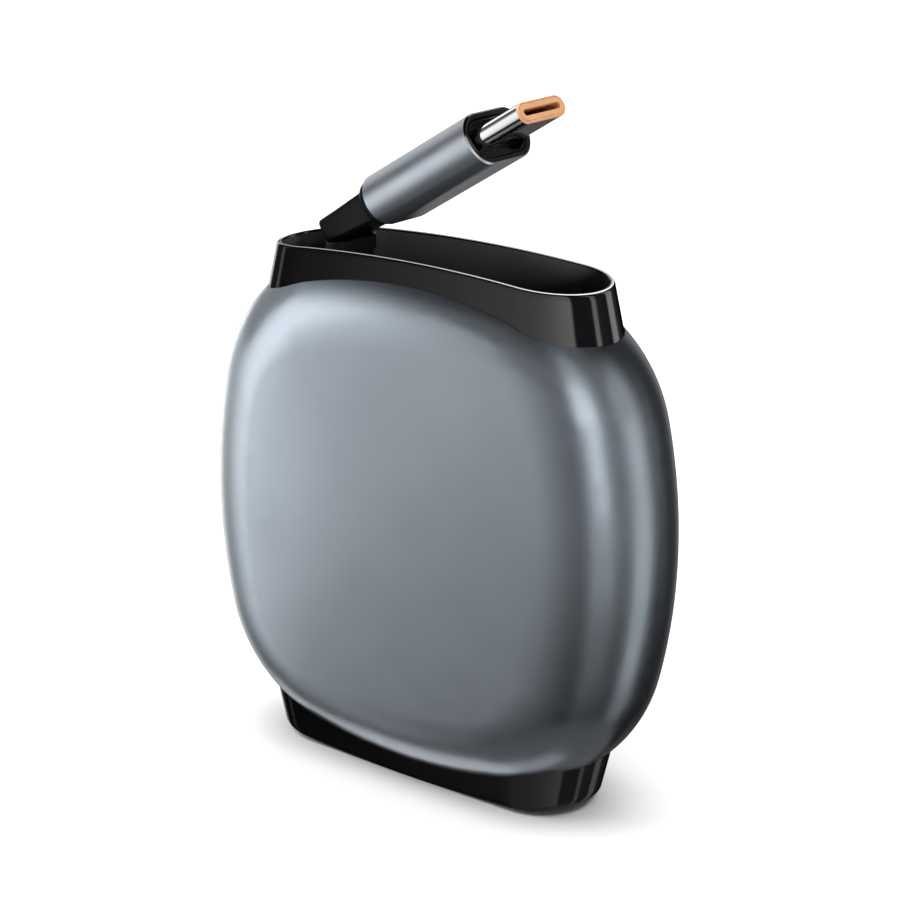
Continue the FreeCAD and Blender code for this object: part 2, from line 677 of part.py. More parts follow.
# Cable: the run inside the puck from the winding to the dock's slot, and the end that rises out of the
# dock to the plug.
def make_cable_run(label, turned):
    half_thickness = number("cable_thickness / 2")
    flat_half = number("cable_width / 2 - cable_thickness / 2")
    leave_radius = number(f"{WINDING_RADIUS} + cable_gap") + half_thickness
    corner = Vector(-number("cable_offset"), 0, number(CABLE_BEND_HEIGHT))
    leave_angle = math.atan2(corner.z, corner.x) + math.acos(leave_radius / corner.Length)
    leave = Vector(math.cos(leave_angle), 0, math.sin(leave_angle)) * leave_radius
    heading = (corner - leave).normalize()
    turn = heading.getAngle(Z_AXIS)
    bend_radius = number("cable_bend_radius")
    setback = bend_radius * math.tan(turn / 2)
    bend_start = corner - heading * setback
    bend_end = corner + Z_AXIS * setback
    bend_centre = bend_end - X_AXIS * bend_radius
    bend_middle = bend_centre + ((bend_start - bend_centre) + (bend_end - bend_centre)).normalize() * bend_radius
    top = Vector(corner.x, 0, number("dock_base_height - cable_gap"))
    path = Part.Wire([
        Part.LineSegment(leave, bend_start).toShape(),
        Part.Arc(bend_start, bend_middle, bend_end).toShape(),
        Part.LineSegment(bend_end, top).toShape(),
    ])
    across = heading.cross(Y_AXIS)
    near = leave - Y_AXIS * flat_half
    far = leave + Y_AXIS * flat_half
    section = Part.Wire([
        Part.LineSegment(near + across * half_thickness, far + across * half_thickness).toShape(),
        Part.Arc(far + across * half_thickness, far + Y_AXIS * half_thickness,
                 far - across * half_thickness).toShape(),
        Part.LineSegment(far - across * half_thickness, near - across * half_thickness).toShape(),
        Part.Arc(near - across * half_thickness, near - Y_AXIS * half_thickness,
                 near + across * half_thickness).toShape(),
    ])
    strip = path.makePipeShell([section], True, False)
    expected = Part.Face(section).Area * path.Length
    if abs(strip.Volume / expected - 1) > 0.01:
        raise RuntimeError(f"{label}: volume {strip.Volume:.2f} instead of {expected:.2f}")
    run = doc.addObject("Part::Feature", label)
    run.Label = label
    run.Shape = strip
    place(run, up="rim_rise", angle="180" if turned else "0")
    return run


def make_cable_end(label, turned, pivot_height):
    """Flat cable standing in the dock's slot, with a thicker boot just under the plug's knuckle."""
    body = new_body(label)
    place(body, up="rim_rise", angle="180" if turned else "0")
    boot_top = f"({pivot_height} - knuckle_radius - relief_gap)"
    section = new_sketch(body, f"{label}_section", "XY_Plane", "dock_base_height")
    stadium(section, "cable_width / 2", "cable_thickness / 2", upright=True, across="-cable_offset")
    pad(body, f"{label}_strip", section, f"{boot_top} - dock_base_height")
    boot = new_sketch(body, f"{label}_boot_section", "XY_Plane", f"{boot_top} - boot_length")
    stadium(boot, "boot_width / 2", "boot_thickness / 2", upright=True, across="-cable_offset")
    pad(body, f"{label}_boot", boot, "boot_length")
    return body


# Plugs: drawn along +X from the point where the cable bends, then tilted and placed.
def place_plug(piece, prefix):
    if prefix == "top":
        place(piece, "-cable_offset", f"rim_rise + {STOWED_PIVOT} + plug_lift", -Y_AXIS, "plug_tilt")
    else:
        place(piece, "cable_offset", f"rim_rise - {STOWED_PIVOT}", Y_AXIS, "180")


def make_tube(label, start, length, half_length, half_width, hole_half_length, hole_half_width):
    """A tube of stadium section, from start along the plug's axis."""
    body = new_body(label)
    section = new_sketch(body, f"{label}_section", "YZ_Plane", start)
    stadium(section, half_length, half_width)
    stadium(section, hole_half_length, hole_half_width)
    return body, pad(body, f"{label}_wall", section, length)


def make_strain_relief(label):
    """Soft moulding: a knuckle round the cable's bend, widening to a collar against the sleeve's end."""
    body = new_body(label)
    side_view = new_sketch(body, f"{label}_side", "XZ_Plane")
    radius = number("knuckle_radius")
    length = number("sleeve_start")
    height = number("relief_half_height")
    spots = [Vector(0, -radius, 0), Vector(length, -height, 0), Vector(length, height, 0), Vector(0, radius, 0)]
    lines = [side_view.addGeometry(Part.LineSegment(*pair)) for pair in zip(spots, spots[1:])]
    quarter = math.pi / 2
    knuckle = side_view.addGeometry(
        Part.ArcOfCircle(Part.Circle(Vector(), Z_AXIS, radius), quarter, 3 * quarter))
    loop = lines + [knuckle]
    for index, edge in enumerate(loop):
        follower = loop[(index + 1) % len(loop)]
        side_view.addConstraint(Sketcher.Constraint("Coincident", edge, 2, follower, 1))
    pin_point(side_view, knuckle, 3, "0", "0")
    measure(side_view, "Radius", (knuckle,), "knuckle_radius")
    side_view.addConstraint(Sketcher.Constraint("PointOnObject", knuckle, 1, -2))
    side_view.addConstraint(Sketcher.Constraint("PointOnObject", knuckle, 2, -2))
    pin_point(side_view, lines[1], 1, "sleeve_start", "-relief_half_height")
    pin_point(side_view, lines[1], 2, "sleeve_start", "relief_half_height")
    block = pad(body, f"{label}_block", side_view, "relief_width", both_sides=True)
    dress(body, f"{label}_round", "Fillet", block,
          [face_furthest(block, Y_AXIS), face_furthest(block, -Y_AXIS)], "Radius", "relief_round")
    collar = new_sketch(body, f"{label}_collar_section", "YZ_Plane", "sleeve_start - relief_collar_length")
    stadium(collar, "sleeve_width / 2 - relief_collar_inset", "sleeve_thickness / 2 - relief_collar_inset")
    pad(body, f"{label}_collar", collar, "relief_collar_length")
    return body


def make_plug(prefix):
    """All rigid pieces of one plug."""
    sleeve, sleeve_wall = make_tube(
        f"{prefix}_plug_sleeve", "sleeve_start", "sleeve_length", "sleeve_width / 2", "sleeve_thickness / 2",
        "sleeve_width / 2 - sleeve_wall", "sleeve_thickness / 2 - sleeve_wall")
    dress(sleeve, f"{prefix}_sleeve_bevel", "Chamfer", sleeve_wall,
          [face_furthest(sleeve_wall, X_AXIS), face_furthest(sleeve_wall, -X_AXIS)], "Size", "sleeve_chamfer")
    insert, _ = make_tube(
        f"{prefix}_plug_insert", f"{SLEEVE_END} - insert_recess - insert_length", "insert_length",
        "sleeve_width / 2 - sleeve_wall - plug_fit", "sleeve_thickness / 2 - sleeve_wall - plug_fit",
        "connector_width / 2 + plug_fit", "connector_thickness / 2 + plug_fit")
    shell, _ = make_tube(
        f"{prefix}_plug_shell", CONNECTOR_START, "connector_depth + connector_reach",
        "connector_width / 2", "connector_thickness / 2",
        "connector_width / 2 - connector_wall", "connector_thickness / 2 - connector_wall")

    liner = new_body(f"{prefix}_plug_liner")
    section = new_sketch(liner, f"{prefix}_liner_section", "YZ_Plane", CONNECTOR_START)
    stadium(section, "connector_width / 2 - connector_wall - plug_fit",
            "connector_thickness / 2 - connector_wall - plug_fit")
    pad(liner, f"{prefix}_liner_block", section, "connector_depth + connector_reach - liner_recess")
    mouth = new_sketch(liner, f"{prefix}_liner_mouth", "YZ_Plane", f"{CONNECTOR_TIP} - liner_recess")
    stadium(mouth, "liner_slot_width / 2", "liner_slot_height / 2")
    pocket(liner, f"{prefix}_liner_slot", mouth, "liner_slot_depth")

    contacts = new_body(f"{prefix}_plug_contacts")
    fingers = new_sketch(contacts, f"{prefix}_contact_section", "YZ_Plane",
                         f"{CONNECTOR_TIP} - contact_setback - contact_length")
    first_finger = "-(contact_count - 1) * contact_pitch / 2"
    for sign in ("", "-"):
        box_outline(fingers, f"{first_finger} - contact_width / 2", f"{first_finger} + contact_width / 2",
                    f"{sign}(liner_slot_height / 2 - contact_thickness)", f"{sign}liner_slot_height / 2")
    pair = pad(contacts, f"{prefix}_contact_pair", fingers, "contact_length")
    row = contacts.newObject("PartDesign::LinearPattern", f"{prefix}_contact_row")
    row.Originals = [pair]
    row.Direction = (fingers, ["H_Axis"])
    bind(row, "Length", "(contact_count - 1) * contact_pitch")
    bind(row, "Occurrences", "contact_count")
    contacts.Tip = row

    board = new_body(f"{prefix}_plug_board")
    board_plan = new_sketch(board, f"{prefix}_board_plan", "XY_Plane")
    box_outline(board_plan, f"{CONNECTOR_START} - plug_fit - board_length", f"{CONNECTOR_START} - plug_fit",
                "-board_width / 2", "board_width / 2")
    pad(board, f"{prefix}_board_sheet", board_plan, "board_thickness", both_sides=True)

    chip = new_body(f"{prefix}_plug_chip")
    chip_plan = new_sketch(chip, f"{prefix}_chip_plan", "XY_Plane", "board_thickness / 2")
    box_outline(chip_plan, f"{CONNECTOR_START} - chip_setback - chip_size", f"{CONNECTOR_START} - chip_setback",
                "-chip_size / 2", "chip_size / 2")
    pad(chip, f"{prefix}_chip_block", chip_plan, "chip_height")

    relief = make_strain_relief(f"{prefix}_strain_relief")
    pieces = [sleeve, insert, shell, liner, contacts, board, chip, relief]
    for piece in pieces:
        place_plug(piece, prefix)
    return pieces


subparts = [make_shell("front_shell", rear=False), make_shell("rear_shell", rear=True)]
subparts += [make_dock("top_dock", turned=False), make_dock("bottom_dock", turned=True)]
subparts += [make_axle(), make_spool(), make_spool_flange(), make_wound_cable(), make_mainspring()]
subparts += [make_ratchet_plate(), make_plate_screws(), make_ratchet_ball()]
subparts += [make_cable_run("top_cable_run", turned=False), make_cable_run("bottom_cable_run", turned=True)]
subparts += [make_cable_end("top_cable_end", False, f"{STOWED_PIVOT} + plug_lift"),
             make_cable_end("bottom_cable_end", True, STOWED_PIVOT)]
subparts += make_plug("top") + make_plug("bottom")

doc.recompute()
for item in doc.Objects:
    if "Invalid" in item.State or "Error" in item.State:
        raise RuntimeError(f"{item.Name} failed: {item.State}")
os.makedirs("parts", exist_ok=True)
for piece in subparts:
    if piece.Shape.isNull() or not piece.Shape.isValid():
        raise RuntimeError(f"{piece.Label} has no valid shape")
    piece.Shape.exportStep(f"parts/{piece.Label}.step")
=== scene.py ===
import math

import bmesh
import bpy
from mathutils import Matrix, Vector


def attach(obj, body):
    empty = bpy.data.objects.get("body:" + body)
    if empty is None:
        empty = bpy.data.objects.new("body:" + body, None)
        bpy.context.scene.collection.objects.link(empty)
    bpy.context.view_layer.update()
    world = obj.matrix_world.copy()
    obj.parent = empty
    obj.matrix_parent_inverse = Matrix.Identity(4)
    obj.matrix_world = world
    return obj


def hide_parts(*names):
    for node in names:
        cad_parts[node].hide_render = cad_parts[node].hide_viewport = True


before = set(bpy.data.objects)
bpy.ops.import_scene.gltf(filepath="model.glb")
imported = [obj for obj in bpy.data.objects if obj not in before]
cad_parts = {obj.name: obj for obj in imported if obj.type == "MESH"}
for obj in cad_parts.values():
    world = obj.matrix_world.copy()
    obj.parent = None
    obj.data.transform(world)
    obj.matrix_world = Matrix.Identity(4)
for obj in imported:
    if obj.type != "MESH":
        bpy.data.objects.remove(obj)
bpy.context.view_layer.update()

# Reel and ball latch: a white acetal spool turns on a steel pin, and a spring strip winds it back. A black
# latch plate, screwed to the front shell, holds a steel ball in the spool's track. The case hides all of it.


def finish(name, metallic, roughness):
    """A new node material, ready for its tint, gloss and pits."""
    material = bpy.data.materials.new(name)
    material.use_nodes = True
    shader = material.node_tree.nodes["Principled BSDF"]
    shader.inputs["Metallic"].default_value = metallic
    shader.inputs["Roughness"].default_value = roughness
    return material


def grain(material, scale, detail=2.0, stretch=None, turn=0.0):
    """Noise on the piece's own coordinates; scale counts features per metre, turn goes round the Y axis."""
    nodes, links = material.node_tree.nodes, material.node_tree.links
    source = nodes.new("ShaderNodeTexCoord").outputs["Object"]
    if stretch is not None:
        mapping = nodes.new("ShaderNodeMapping")
        mapping.vector_type = "TEXTURE"
        mapping.inputs["Rotation"].default_value = (0.0, turn, 0.0)
        mapping.inputs["Scale"].default_value = stretch
        links.new(source, mapping.inputs["Vector"])
        source = mapping.outputs["Vector"]
    noise = nodes.new("ShaderNodeTexNoise")
    noise.inputs["Scale"].default_value = scale
    noise.inputs["Detail"].default_value = detail
    links.new(source, noise.inputs["Vector"])
    return noise.outputs["Fac"]


def tint(material, first, second, *pattern):
    """A colour that drifts between two close tones along a grain's middle range."""
    first_stop, second_stop = 0.35, 0.65
    nodes, links = material.node_tree.nodes, material.node_tree.links
    ramp = nodes.new("ShaderNodeValToRGB")
    ramp.color_ramp.elements[0].position = first_stop
    ramp.color_ramp.elements[0].color = (*first, 1.0)
    ramp.color_ramp.elements[1].position = second_stop
    ramp.color_ramp.elements[1].color = (*second, 1.0)
    links.new(grain(material, *pattern), ramp.inputs["Fac"])
    links.new(ramp.outputs["Color"], nodes["Principled BSDF"].inputs["Base Color"])


def dress(node, material):
    """Give a CAD node one material in place of its own."""
    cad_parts[node].data.materials.clear()
    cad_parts[node].data.materials.append(material)


spool_white = finish("spool_white", 0.0, 0.38)
tint(spool_white, (0.68, 0.68, 0.66), (0.74, 0.74, 0.72), 120.0)
plate_black = finish("plate_black", 0.0, 0.4)
tint(plate_black, (0.014, 0.014, 0.014), (0.022, 0.022, 0.022), 200.0)
spring_steel = finish("spring_steel", 1.0, 0.28)
tint(spring_steel, (0.30, 0.32, 0.36), (0.40, 0.42, 0.45), 500.0)
bare_steel = finish("bare_steel", 1.0, 0.24)
tint(bare_steel, (0.52, 0.52, 0.53), (0.60, 0.60, 0.61), 500.0)
for node, material in (
    ("spool", spool_white), ("spool_flange", spool_white), ("ratchet_plate", plate_black),
    ("mainspring", spring_steel), ("axle", bare_steel), ("plate_screws", bare_steel),
    ("ratchet_ball", bare_steel),
):
    dress(node, material)

# Cable: a flat cord in a soft black jacket, wound on the spool and led from there to each dock's slot. Its
# ends rise through the slots to the plugs' knuckles.


def pitted(material, strength, depth, *pattern):
    """Fine bump on a grain, of a given depth in metres."""
    nodes, links = material.node_tree.nodes, material.node_tree.links
    bump = nodes.new("ShaderNodeBump")
    bump.inputs["Strength"].default_value = strength
    bump.inputs["Distance"].default_value = depth
    links.new(grain(material, *pattern), bump.inputs["Height"])
    links.new(bump.outputs["Normal"], nodes["Principled BSDF"].inputs["Normal"])


cable_black = finish("cable_black", 0.0, 0.45)
tint(cable_black, (0.0052, 0.0052, 0.0056), (0.0077, 0.0077, 0.0084), 250.0)
pitted(cable_black, 0.25, 0.00003, 3000.0)
for node in ("wound_cable", "top_cable_run", "bottom_cable_run", "top_cable_end", "bottom_cable_end"):
    dress(node, cable_black)

# Case halves: two drawn aluminium shells that close on the middle plane, blasted and anodised blue-grey.
# Each is a bowed square with a wide rolled edge and a faintly crowned face, cut away where the docks stand
# through. The lengths of this piece and the next ones are in millimetres, as a maker's drawing gives them.
MM = 0.001
puck_rise = 31.04
case_half_width, case_half_height, case_half_depth = 30.2, 30.75, 11.5
side_bow, case_corner, case_land, case_wall, face_crown = 65.0, 18.8, 0.5, 1.6, 0.5
side_steps, corner_steps, outer_roll_steps, inner_roll_steps = 10, 22, 28, 12
FACE_SHARES = (0.86, 0.7, 0.5, 0.3, 0.14)
dock_base_height, dock_base_half_length, dock_base_half_width = 22.85, 23.55, 7.55
rim_half_length, rim_half_width, dock_clearance = 21.63, 6.65, 0.08
dock_straight_steps, dock_round_steps = 30, 28
crease_angle = 32.0


def finished_piece(name, shape, smooth_angle=crease_angle):
    """A mesh object from a bmesh in millimetres, normals outward, smooth but for its sharp edges."""
    bmesh.ops.recalc_face_normals(shape, faces=shape.faces)
    bmesh.ops.scale(shape, vec=(MM, MM, MM), verts=shape.verts)
    mesh = bpy.data.meshes.new(name)
    shape.to_mesh(mesh)
    shape.free()
    mesh.shade_smooth()
    mesh.set_sharp_from_angle(angle=math.radians(smooth_angle))
    piece = bpy.data.objects.new(name, mesh)
    bpy.context.scene.collection.objects.link(piece)
    return piece


def loft(shape, rings, closed=False, first_tip=None, last_tip=None):
    """Skin loops of points that all have the same count; a tip closes that end to one point."""
    loops = [[shape.verts.new(point) for point in ring] for ring in rings]
    pairs = list(zip(loops, loops[1:]))
    if closed:
        pairs.append((loops[-1], loops[0]))
    for near, far in pairs:
        for index in range(len(near)):
            after = (index + 1) % len(near)
            shape.faces.new((near[index], near[after], far[after], far[index]))
    for tip, ring in ((first_tip, loops[0]), (last_tip, loops[-1])):
        if tip is not None:
            point = shape.verts.new(tip)
            for index in range(len(ring)):
                shape.faces.new((ring[index], ring[(index + 1) % len(ring)], point))
    return loops


def case_outline(inset):
    """The bowed square drawn in by inset: shallow side arcs joined by tangent corner arcs."""
    side_centre = Vector((case_half_width - side_bow, 0.0))
    top_centre = Vector((0.0, case_half_height - side_bow))
    span = top_centre - side_centre
    outward = Vector((-span.y, span.x)).normalized()
    reach = math.sqrt((side_bow - case_corner) ** 2 - (span.length / 2) ** 2)
    corner_centre = (side_centre + top_centre) / 2 + outward * reach
    side_end = math.atan2(corner_centre.y, corner_centre.x - side_centre.x)
    top_start = math.atan2(corner_centre.y - top_centre.y, corner_centre.x)
    quarter = []
    for centre, radius, start, end, steps in (
        (side_centre, side_bow, 0.0, side_end, side_steps),
        (corner_centre, case_corner, side_end, top_start, corner_steps),
        (top_centre, side_bow, top_start, math.pi / 2, side_steps),
    ):
        for step in range(steps):
            angle = start + (end - start) * step / steps
            quarter.append(centre + Vector((math.cos(angle), math.sin(angle))) * (radius - inset))
    crest = Vector((0.0, case_half_height - inset))
    upper_half = quarter + [crest] + [Vector((-spot.x, spot.y)) for spot in reversed(quarter[1:])]
    return upper_half + [Vector((-spot.x, -spot.y)) for spot in upper_half]


def rolled_profile(inset, crown, steps):
    """Pairs of inset and depth, from the middle plane over the rolled edge to the face's border."""
    radius = case_half_depth - case_land - inset
    slope = 2 * crown / (case_half_width - case_half_depth)
    end = math.pi / 2 - math.atan(slope)
    profile = [(inset, 0.0)]
    for step in range(steps + 1):
        angle = end * step / steps
        rise = case_land + (radius - crown) * math.sin(angle) / math.sin(end)
        profile.append((inset + radius * (1 - math.cos(angle)), rise))
    return profile


def case_half(name, direction):
    """A closed shell: inner skin, middle-plane lip and outer skin, as one run of loops."""
    def skin(inset, crown, steps):
        profile = rolled_profile(inset, crown, steps)
        loops = [
            [(spot.x, direction * rise, puck_rise + spot.y) for spot in case_outline(drawn_in)]
            for drawn_in, rise in profile
        ]
        border_inset, border_rise = profile[-1]
        border = case_outline(border_inset)
        for share in FACE_SHARES:
            rise = border_rise + crown * (1 - share ** 2)
            loops.append([(spot.x * share, direction * rise, puck_rise + spot.y * share) for spot in border])
        return loops, (0.0, direction * (border_rise + crown), puck_rise)

    outer, outer_tip = skin(0.0, face_crown, outer_roll_steps)
    inner, inner_tip = skin(case_wall, 0.0, inner_roll_steps)
    shape = bmesh.new()
    loft(shape, inner[::-1] + outer, first_tip=inner_tip, last_tip=outer_tip)
    return finished_piece(name, shape)


def stadium_loop(half_length, half_width, straight_steps, round_steps):
    """Two straight sides joined by half rounds, as (along, aside) pairs, anticlockwise."""
    reach = half_length - half_width
    points = []
    for sign in (1, -1):
        for step in range(round_steps):
            angle = -math.pi / 2 + math.pi * step / round_steps
            along = reach + half_width * math.cos(angle)
            points.append((sign * along, sign * half_width * math.sin(angle)))
        for step in range(straight_steps):
            points.append((sign * reach * (1 - 2 * step / straight_steps), sign * half_width))
    return points


def dock_loop(half_length, half_width):
    return stadium_loop(half_length, half_width, dock_straight_steps, dock_round_steps)


def dock_opening(direction):
    """The tapered plug that a dock's walls fill, a clearance larger, to cut the shells with."""
    rings = []
    for height, half_length, half_width in (
        (dock_base_height - dock_clearance, dock_base_half_length, dock_base_half_width),
        (puck_rise, rim_half_length, rim_half_width),
    ):
        loop = dock_loop(half_length + dock_clearance, half_width + dock_clearance)
        rings.append([(direction * along, aside, puck_rise + direction * height) for along, aside in loop])
    inner_tip, outer_tip = [(0.0, 0.0, ring[0][2]) for ring in rings]
    shape = bmesh.new()
    loft(shape, rings, first_tip=inner_tip, last_tip=outer_tip)
    return finished_piece("dock_opening", shape)


def cut_away(piece, cutters):
    """Apply exact boolean cuts and keep the result as a plain mesh."""
    for cutter in cutters:
        modifier = piece.modifiers.new("cut", "BOOLEAN")
        modifier.operation = "DIFFERENCE"
        modifier.solver = "EXACT"
        modifier.object = cutter
    evaluated = piece.evaluated_get(bpy.context.evaluated_depsgraph_get())
    mesh = bpy.data.meshes.new_from_object(evaluated)
    piece.modifiers.clear()
    piece.data = mesh
    mesh.shade_smooth()
    mesh.set_sharp_from_angle(angle=math.radians(crease_angle))


def uneven_gloss(material, low, high, *pattern):
    """Roughness that goes from low to high along a grain's middle range."""
    grain_low, grain_high = 0.3, 0.7
    nodes, links = material.node_tree.nodes, material.node_tree.links
    spread = nodes.new("ShaderNodeMapRange")
    spread.inputs["From Min"].default_value = grain_low
    spread.inputs["From Max"].default_value = grain_high
    spread.inputs["To Min"].default_value = low
    spread.inputs["To Max"].default_value = high
    links.new(grain(material, *pattern), spread.inputs["Value"])
    links.new(spread.outputs["Result"], nodes["Principled BSDF"].inputs["Roughness"])


def satin_metal(name, first, second, roughness, metallic=1.0):
    """Bead-blasted anodised metal: fine pits, slightly uneven gloss, close drift in tone."""
    gloss_drift = 0.025
    material = finish(name, metallic, roughness)
    tint(material, first, second, 55.0)
    uneven_gloss(material, roughness - gloss_drift, roughness + gloss_drift, 420.0)
    pitted(material, 0.10, 0.00002, 5200.0, 3.0)
    return material


case_grey = satin_metal("case_grey", (0.253, 0.285, 0.319), (0.272, 0.306, 0.342), 0.24)
openings = [dock_opening(1), dock_opening(-1)]
front_shell = case_half("front_case", -1)
rear_shell = case_half("rear_case", 1)
for shell, node in ((front_shell, "front_shell"), (rear_shell, "rear_shell")):
    cut_away(shell, openings)
    shell.data.materials.clear()
    shell.data.materials.append(case_grey)
    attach(shell, "housing")
    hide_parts(node)
for opening in openings:
    bpy.data.objects.remove(opening)

# Docks: high-gloss black mouldings that cradle a plug at each end of the puck, gripped between the shells.
# The walls lean in to an arched, thin rounded rim whose crest is painted light grey as a highlight line. The
# recess has a flat floor with a slot that the flat cable comes up through.
rim_arch, rim_wall, recess_draft, recess_fillet, dock_floor_height = 194.0, 0.6, 0.3, 0.5, 24.15
cable_offset, cable_half_width, cable_half_thickness = 12.8, 3.6, 0.75
cable_slot_gap, cable_slot_steps = 0.3, 12
OUTER_DROPS, INNER_DROPS = (6.0, 4.0, 2.0, 0.8), (0.8, 2.4, 4.0)
FILLET_SHARES = (0.0, 0.3, 0.7, 1.0)
# Pairs of inset from the outer wall and drop below the arch, across the rim from outside to inside.
RIM_ROUND = (
    (0.0, 0.26), (0.05, 0.12), (0.13, 0.04), (0.24, 0.0),
    (0.36, 0.0), (0.47, 0.04), (0.55, 0.12), (0.6, 0.26),
)
# The painted highlight on the rim's crest leaves out this many of the rim's loops at each side, in its own
# slot.
painted_highlight_margin, painted_highlight_index, recess_index = 2, 1, 2
dock_crease_angle = 40.0


def arch_height(along):
    return puck_rise - rim_arch + math.sqrt(rim_arch ** 2 - along ** 2)


def wall_loop(low, high, drop):
    """Points on a tapered wall between two stadiums (height, half length, half width), under the arch."""
    settling_rounds = 3
    points = []
    low_loop, high_loop = [dock_loop(half_length, half_width) for _, half_length, half_width in (low, high)]
    for (low_along, low_aside), (high_along, high_aside) in zip(low_loop, high_loop):
        part = 1.0
        for _ in range(settling_rounds):
            along = low_along + part * (high_along - low_along)
            part = (arch_height(along) - drop - low[0]) / (high[0] - low[0])
        points.append((along, low_aside + part * (high_aside - low_aside), arch_height(along) - drop))
    return points


def level_loop(height, half_length, half_width):
    return [(along, aside, height) for along, aside in dock_loop(half_length, half_width)]


def paint(shape, loops, first, last, index):
    """Give the skin between two of a loft's loops another material slot."""
    points = {point for loop in loops[first:last + 1] for point in loop}
    for face in shape.faces:
        if all(point in points for point in face.verts):
            face.material_index = index


def dock(name, direction):
    """Outer wall, rim, recess wall, fillet and slotted floor, as one closed skin."""
    base = (dock_base_height, dock_base_half_length, dock_base_half_width)
    rim = (puck_rise, rim_half_length, rim_half_width)
    mouth = (puck_rise, rim_half_length - rim_wall, rim_half_width - rim_wall)
    recess = (dock_floor_height, mouth[1] - recess_draft, mouth[2] - recess_draft)
    rings = [level_loop(*base)]
    rings += [wall_loop(base, rim, drop) for drop in OUTER_DROPS]
    rim_first = len(rings)
    for inset, drop in RIM_ROUND:
        foot = (base[0], base[1] - inset, base[2] - inset)
        top = (rim[0], rim[1] - inset, rim[2] - inset)
        rings.append(wall_loop(foot, top, drop))
    rim_last = len(rings) - 1
    rings += [wall_loop(recess, mouth, drop) for drop in INNER_DROPS]
    for share in FILLET_SHARES:
        turn = share * math.pi / 2
        rise = recess_fillet * (1 - math.sin(turn))
        pull = recess_fillet * (1 - math.cos(turn))
        rings.append(level_loop(dock_floor_height + rise, recess[1] - pull, recess[2] - pull))
    shape = bmesh.new()
    loops = loft(shape, rings)
    # Painted highlight: the rim's crest takes the light grey slot, in place of a bright line of light on the
    # black.
    paint(shape, loops, rim_first + painted_highlight_margin, rim_last - painted_highlight_margin, painted_highlight_index)
    paint(shape, loops, rim_last, len(loops) - 1, recess_index)
    slot_half_length = cable_half_width + cable_slot_gap
    slot_half_width = cable_half_thickness + cable_slot_gap
    slot = stadium_loop(slot_half_length, slot_half_width, cable_slot_steps, cable_slot_steps)
    slot_loops = loft(shape, [
        [(aside - cable_offset, along, height) for along, aside in slot]
        for height in (dock_floor_height, dock_base_height)
    ])
    for outer, inner in ((loops[-1], slot_loops[0]), (loops[0], slot_loops[1])):
        edges = []
        for loop in (outer, inner):
            edges += [shape.edges.get(ends) for ends in zip(loop, loop[1:] + loop[:1])]
        bmesh.ops.triangle_fill(shape, use_beauty=True, edges=edges)
    half_turn = math.pi if direction < 0 else 0.0
    place = Matrix.Translation((0.0, 0.0, puck_rise)) @ Matrix.Rotation(half_turn, 4, "Y")
    bmesh.ops.transform(shape, matrix=place, verts=shape.verts)
    return finished_piece(name, shape, dock_crease_angle)


dock_black = finish("dock_black", 0.0, 0.06)
tint(dock_black, (0.0014, 0.0014, 0.0016), (0.0022, 0.0022, 0.0024), 70.0)
uneven_gloss(dock_black, 0.045, 0.085, 180.0, 4.0)
pitted(dock_black, 0.05, 0.00002, 260.0, 1.0)
# Painted highlight: a light grey for the black rim's crest, standing in for the bright line that light draws
# along it.
rim_crest_painted_highlight = finish("rim_crest_painted_highlight", 0.0, 0.22)
tint(rim_crest_painted_highlight, (0.520, 0.525, 0.540), (0.680, 0.685, 0.700), 90.0)
pitted(rim_crest_painted_highlight, 0.10, 0.00002, 2600.0)
recess_black = finish("recess_black", 0.0, 0.42)
tint(recess_black, (0.0135, 0.0135, 0.0140), (0.0175, 0.0175, 0.0180), 110.0)
uneven_gloss(recess_black, 0.36, 0.50, 600.0)
pitted(recess_black, 0.2, 0.00003, 3400.0)
cradles = []
for name, node, direction in (("top_dock_cradle", "top_dock", 1), ("bottom_dock_cradle", "bottom_dock", -1)):
    cradle = dock(name, direction)
    cradle.data.materials.append(dock_black)
    cradle.data.materials.append(rim_crest_painted_highlight)
    cradle.data.materials.append(recess_black)
    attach(cradle, "housing")
    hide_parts(node)
    cradles.append(cradle)

# Paddle boards: small green circuit boards that the cable's wires are soldered to, each with a black marker
# chip. They lie behind the connectors and the sleeves hide them.
board_green = finish("board_green", 0.0, 0.4)
tint(board_green, (0.010, 0.075, 0.028), (0.020, 0.130, 0.050), 1600.0, 1.0)
chip_black = finish("chip_black", 0.0, 0.5)
tint(chip_black, (0.012, 0.012, 0.012), (0.020, 0.020, 0.020), 2600.0)
for prefix in ("top", "bottom"):
    dress(f"{prefix}_plug_board", board_green)
    dress(f"{prefix}_plug_chip", chip_black)

# Contacts: two rows of gold-plated spring fingers in each connector. One finger is drawn by nodes and set
# along both rows. All of a plug is drawn along its own axis, from the point where the cable bends, and then
# tilted up or stowed into place.
plug_tilt, bend_height, stowed_height = math.radians(31.2), 63.38, 3.5
plug_places = {
    "top": Matrix.Translation((-cable_offset, 0.0, bend_height)) @ Matrix.Rotation(plug_tilt, 4, (0, -1, 0)),
    "bottom": Matrix.Translation((cable_offset, 0.0, stowed_height)) @ Matrix.Rotation(math.pi, 4, "Y"),
}
connector_start, connector_tip = 18.1, 30.75
contact_count, contact_length, contact_setback, finger_stations = 12, 4.2, 0.9, 6
CONTACT_SIZES = (
    ("Count", "NodeSocketInt", contact_count), ("Pitch", "NodeSocketFloat", 0.5 * MM),
    ("Length", "NodeSocketFloat", contact_length * MM), ("Width", "NodeSocketFloat", 0.26 * MM),
    ("Thickness", "NodeSocketFloat", 0.12 * MM), ("Row Height", "NodeSocketFloat", 0.36 * MM),
)


def worked_out(tree, operation, first, second):
    """A Math node's result; each of its two inputs follows a socket or is a plain number."""
    node = tree.nodes.new("ShaderNodeMath")
    node.operation = operation
    for socket, source in zip(node.inputs, (first, second)):
        if isinstance(source, float):
            socket.default_value = source
        else:
            tree.links.new(source, socket)
    return node.outputs[0]


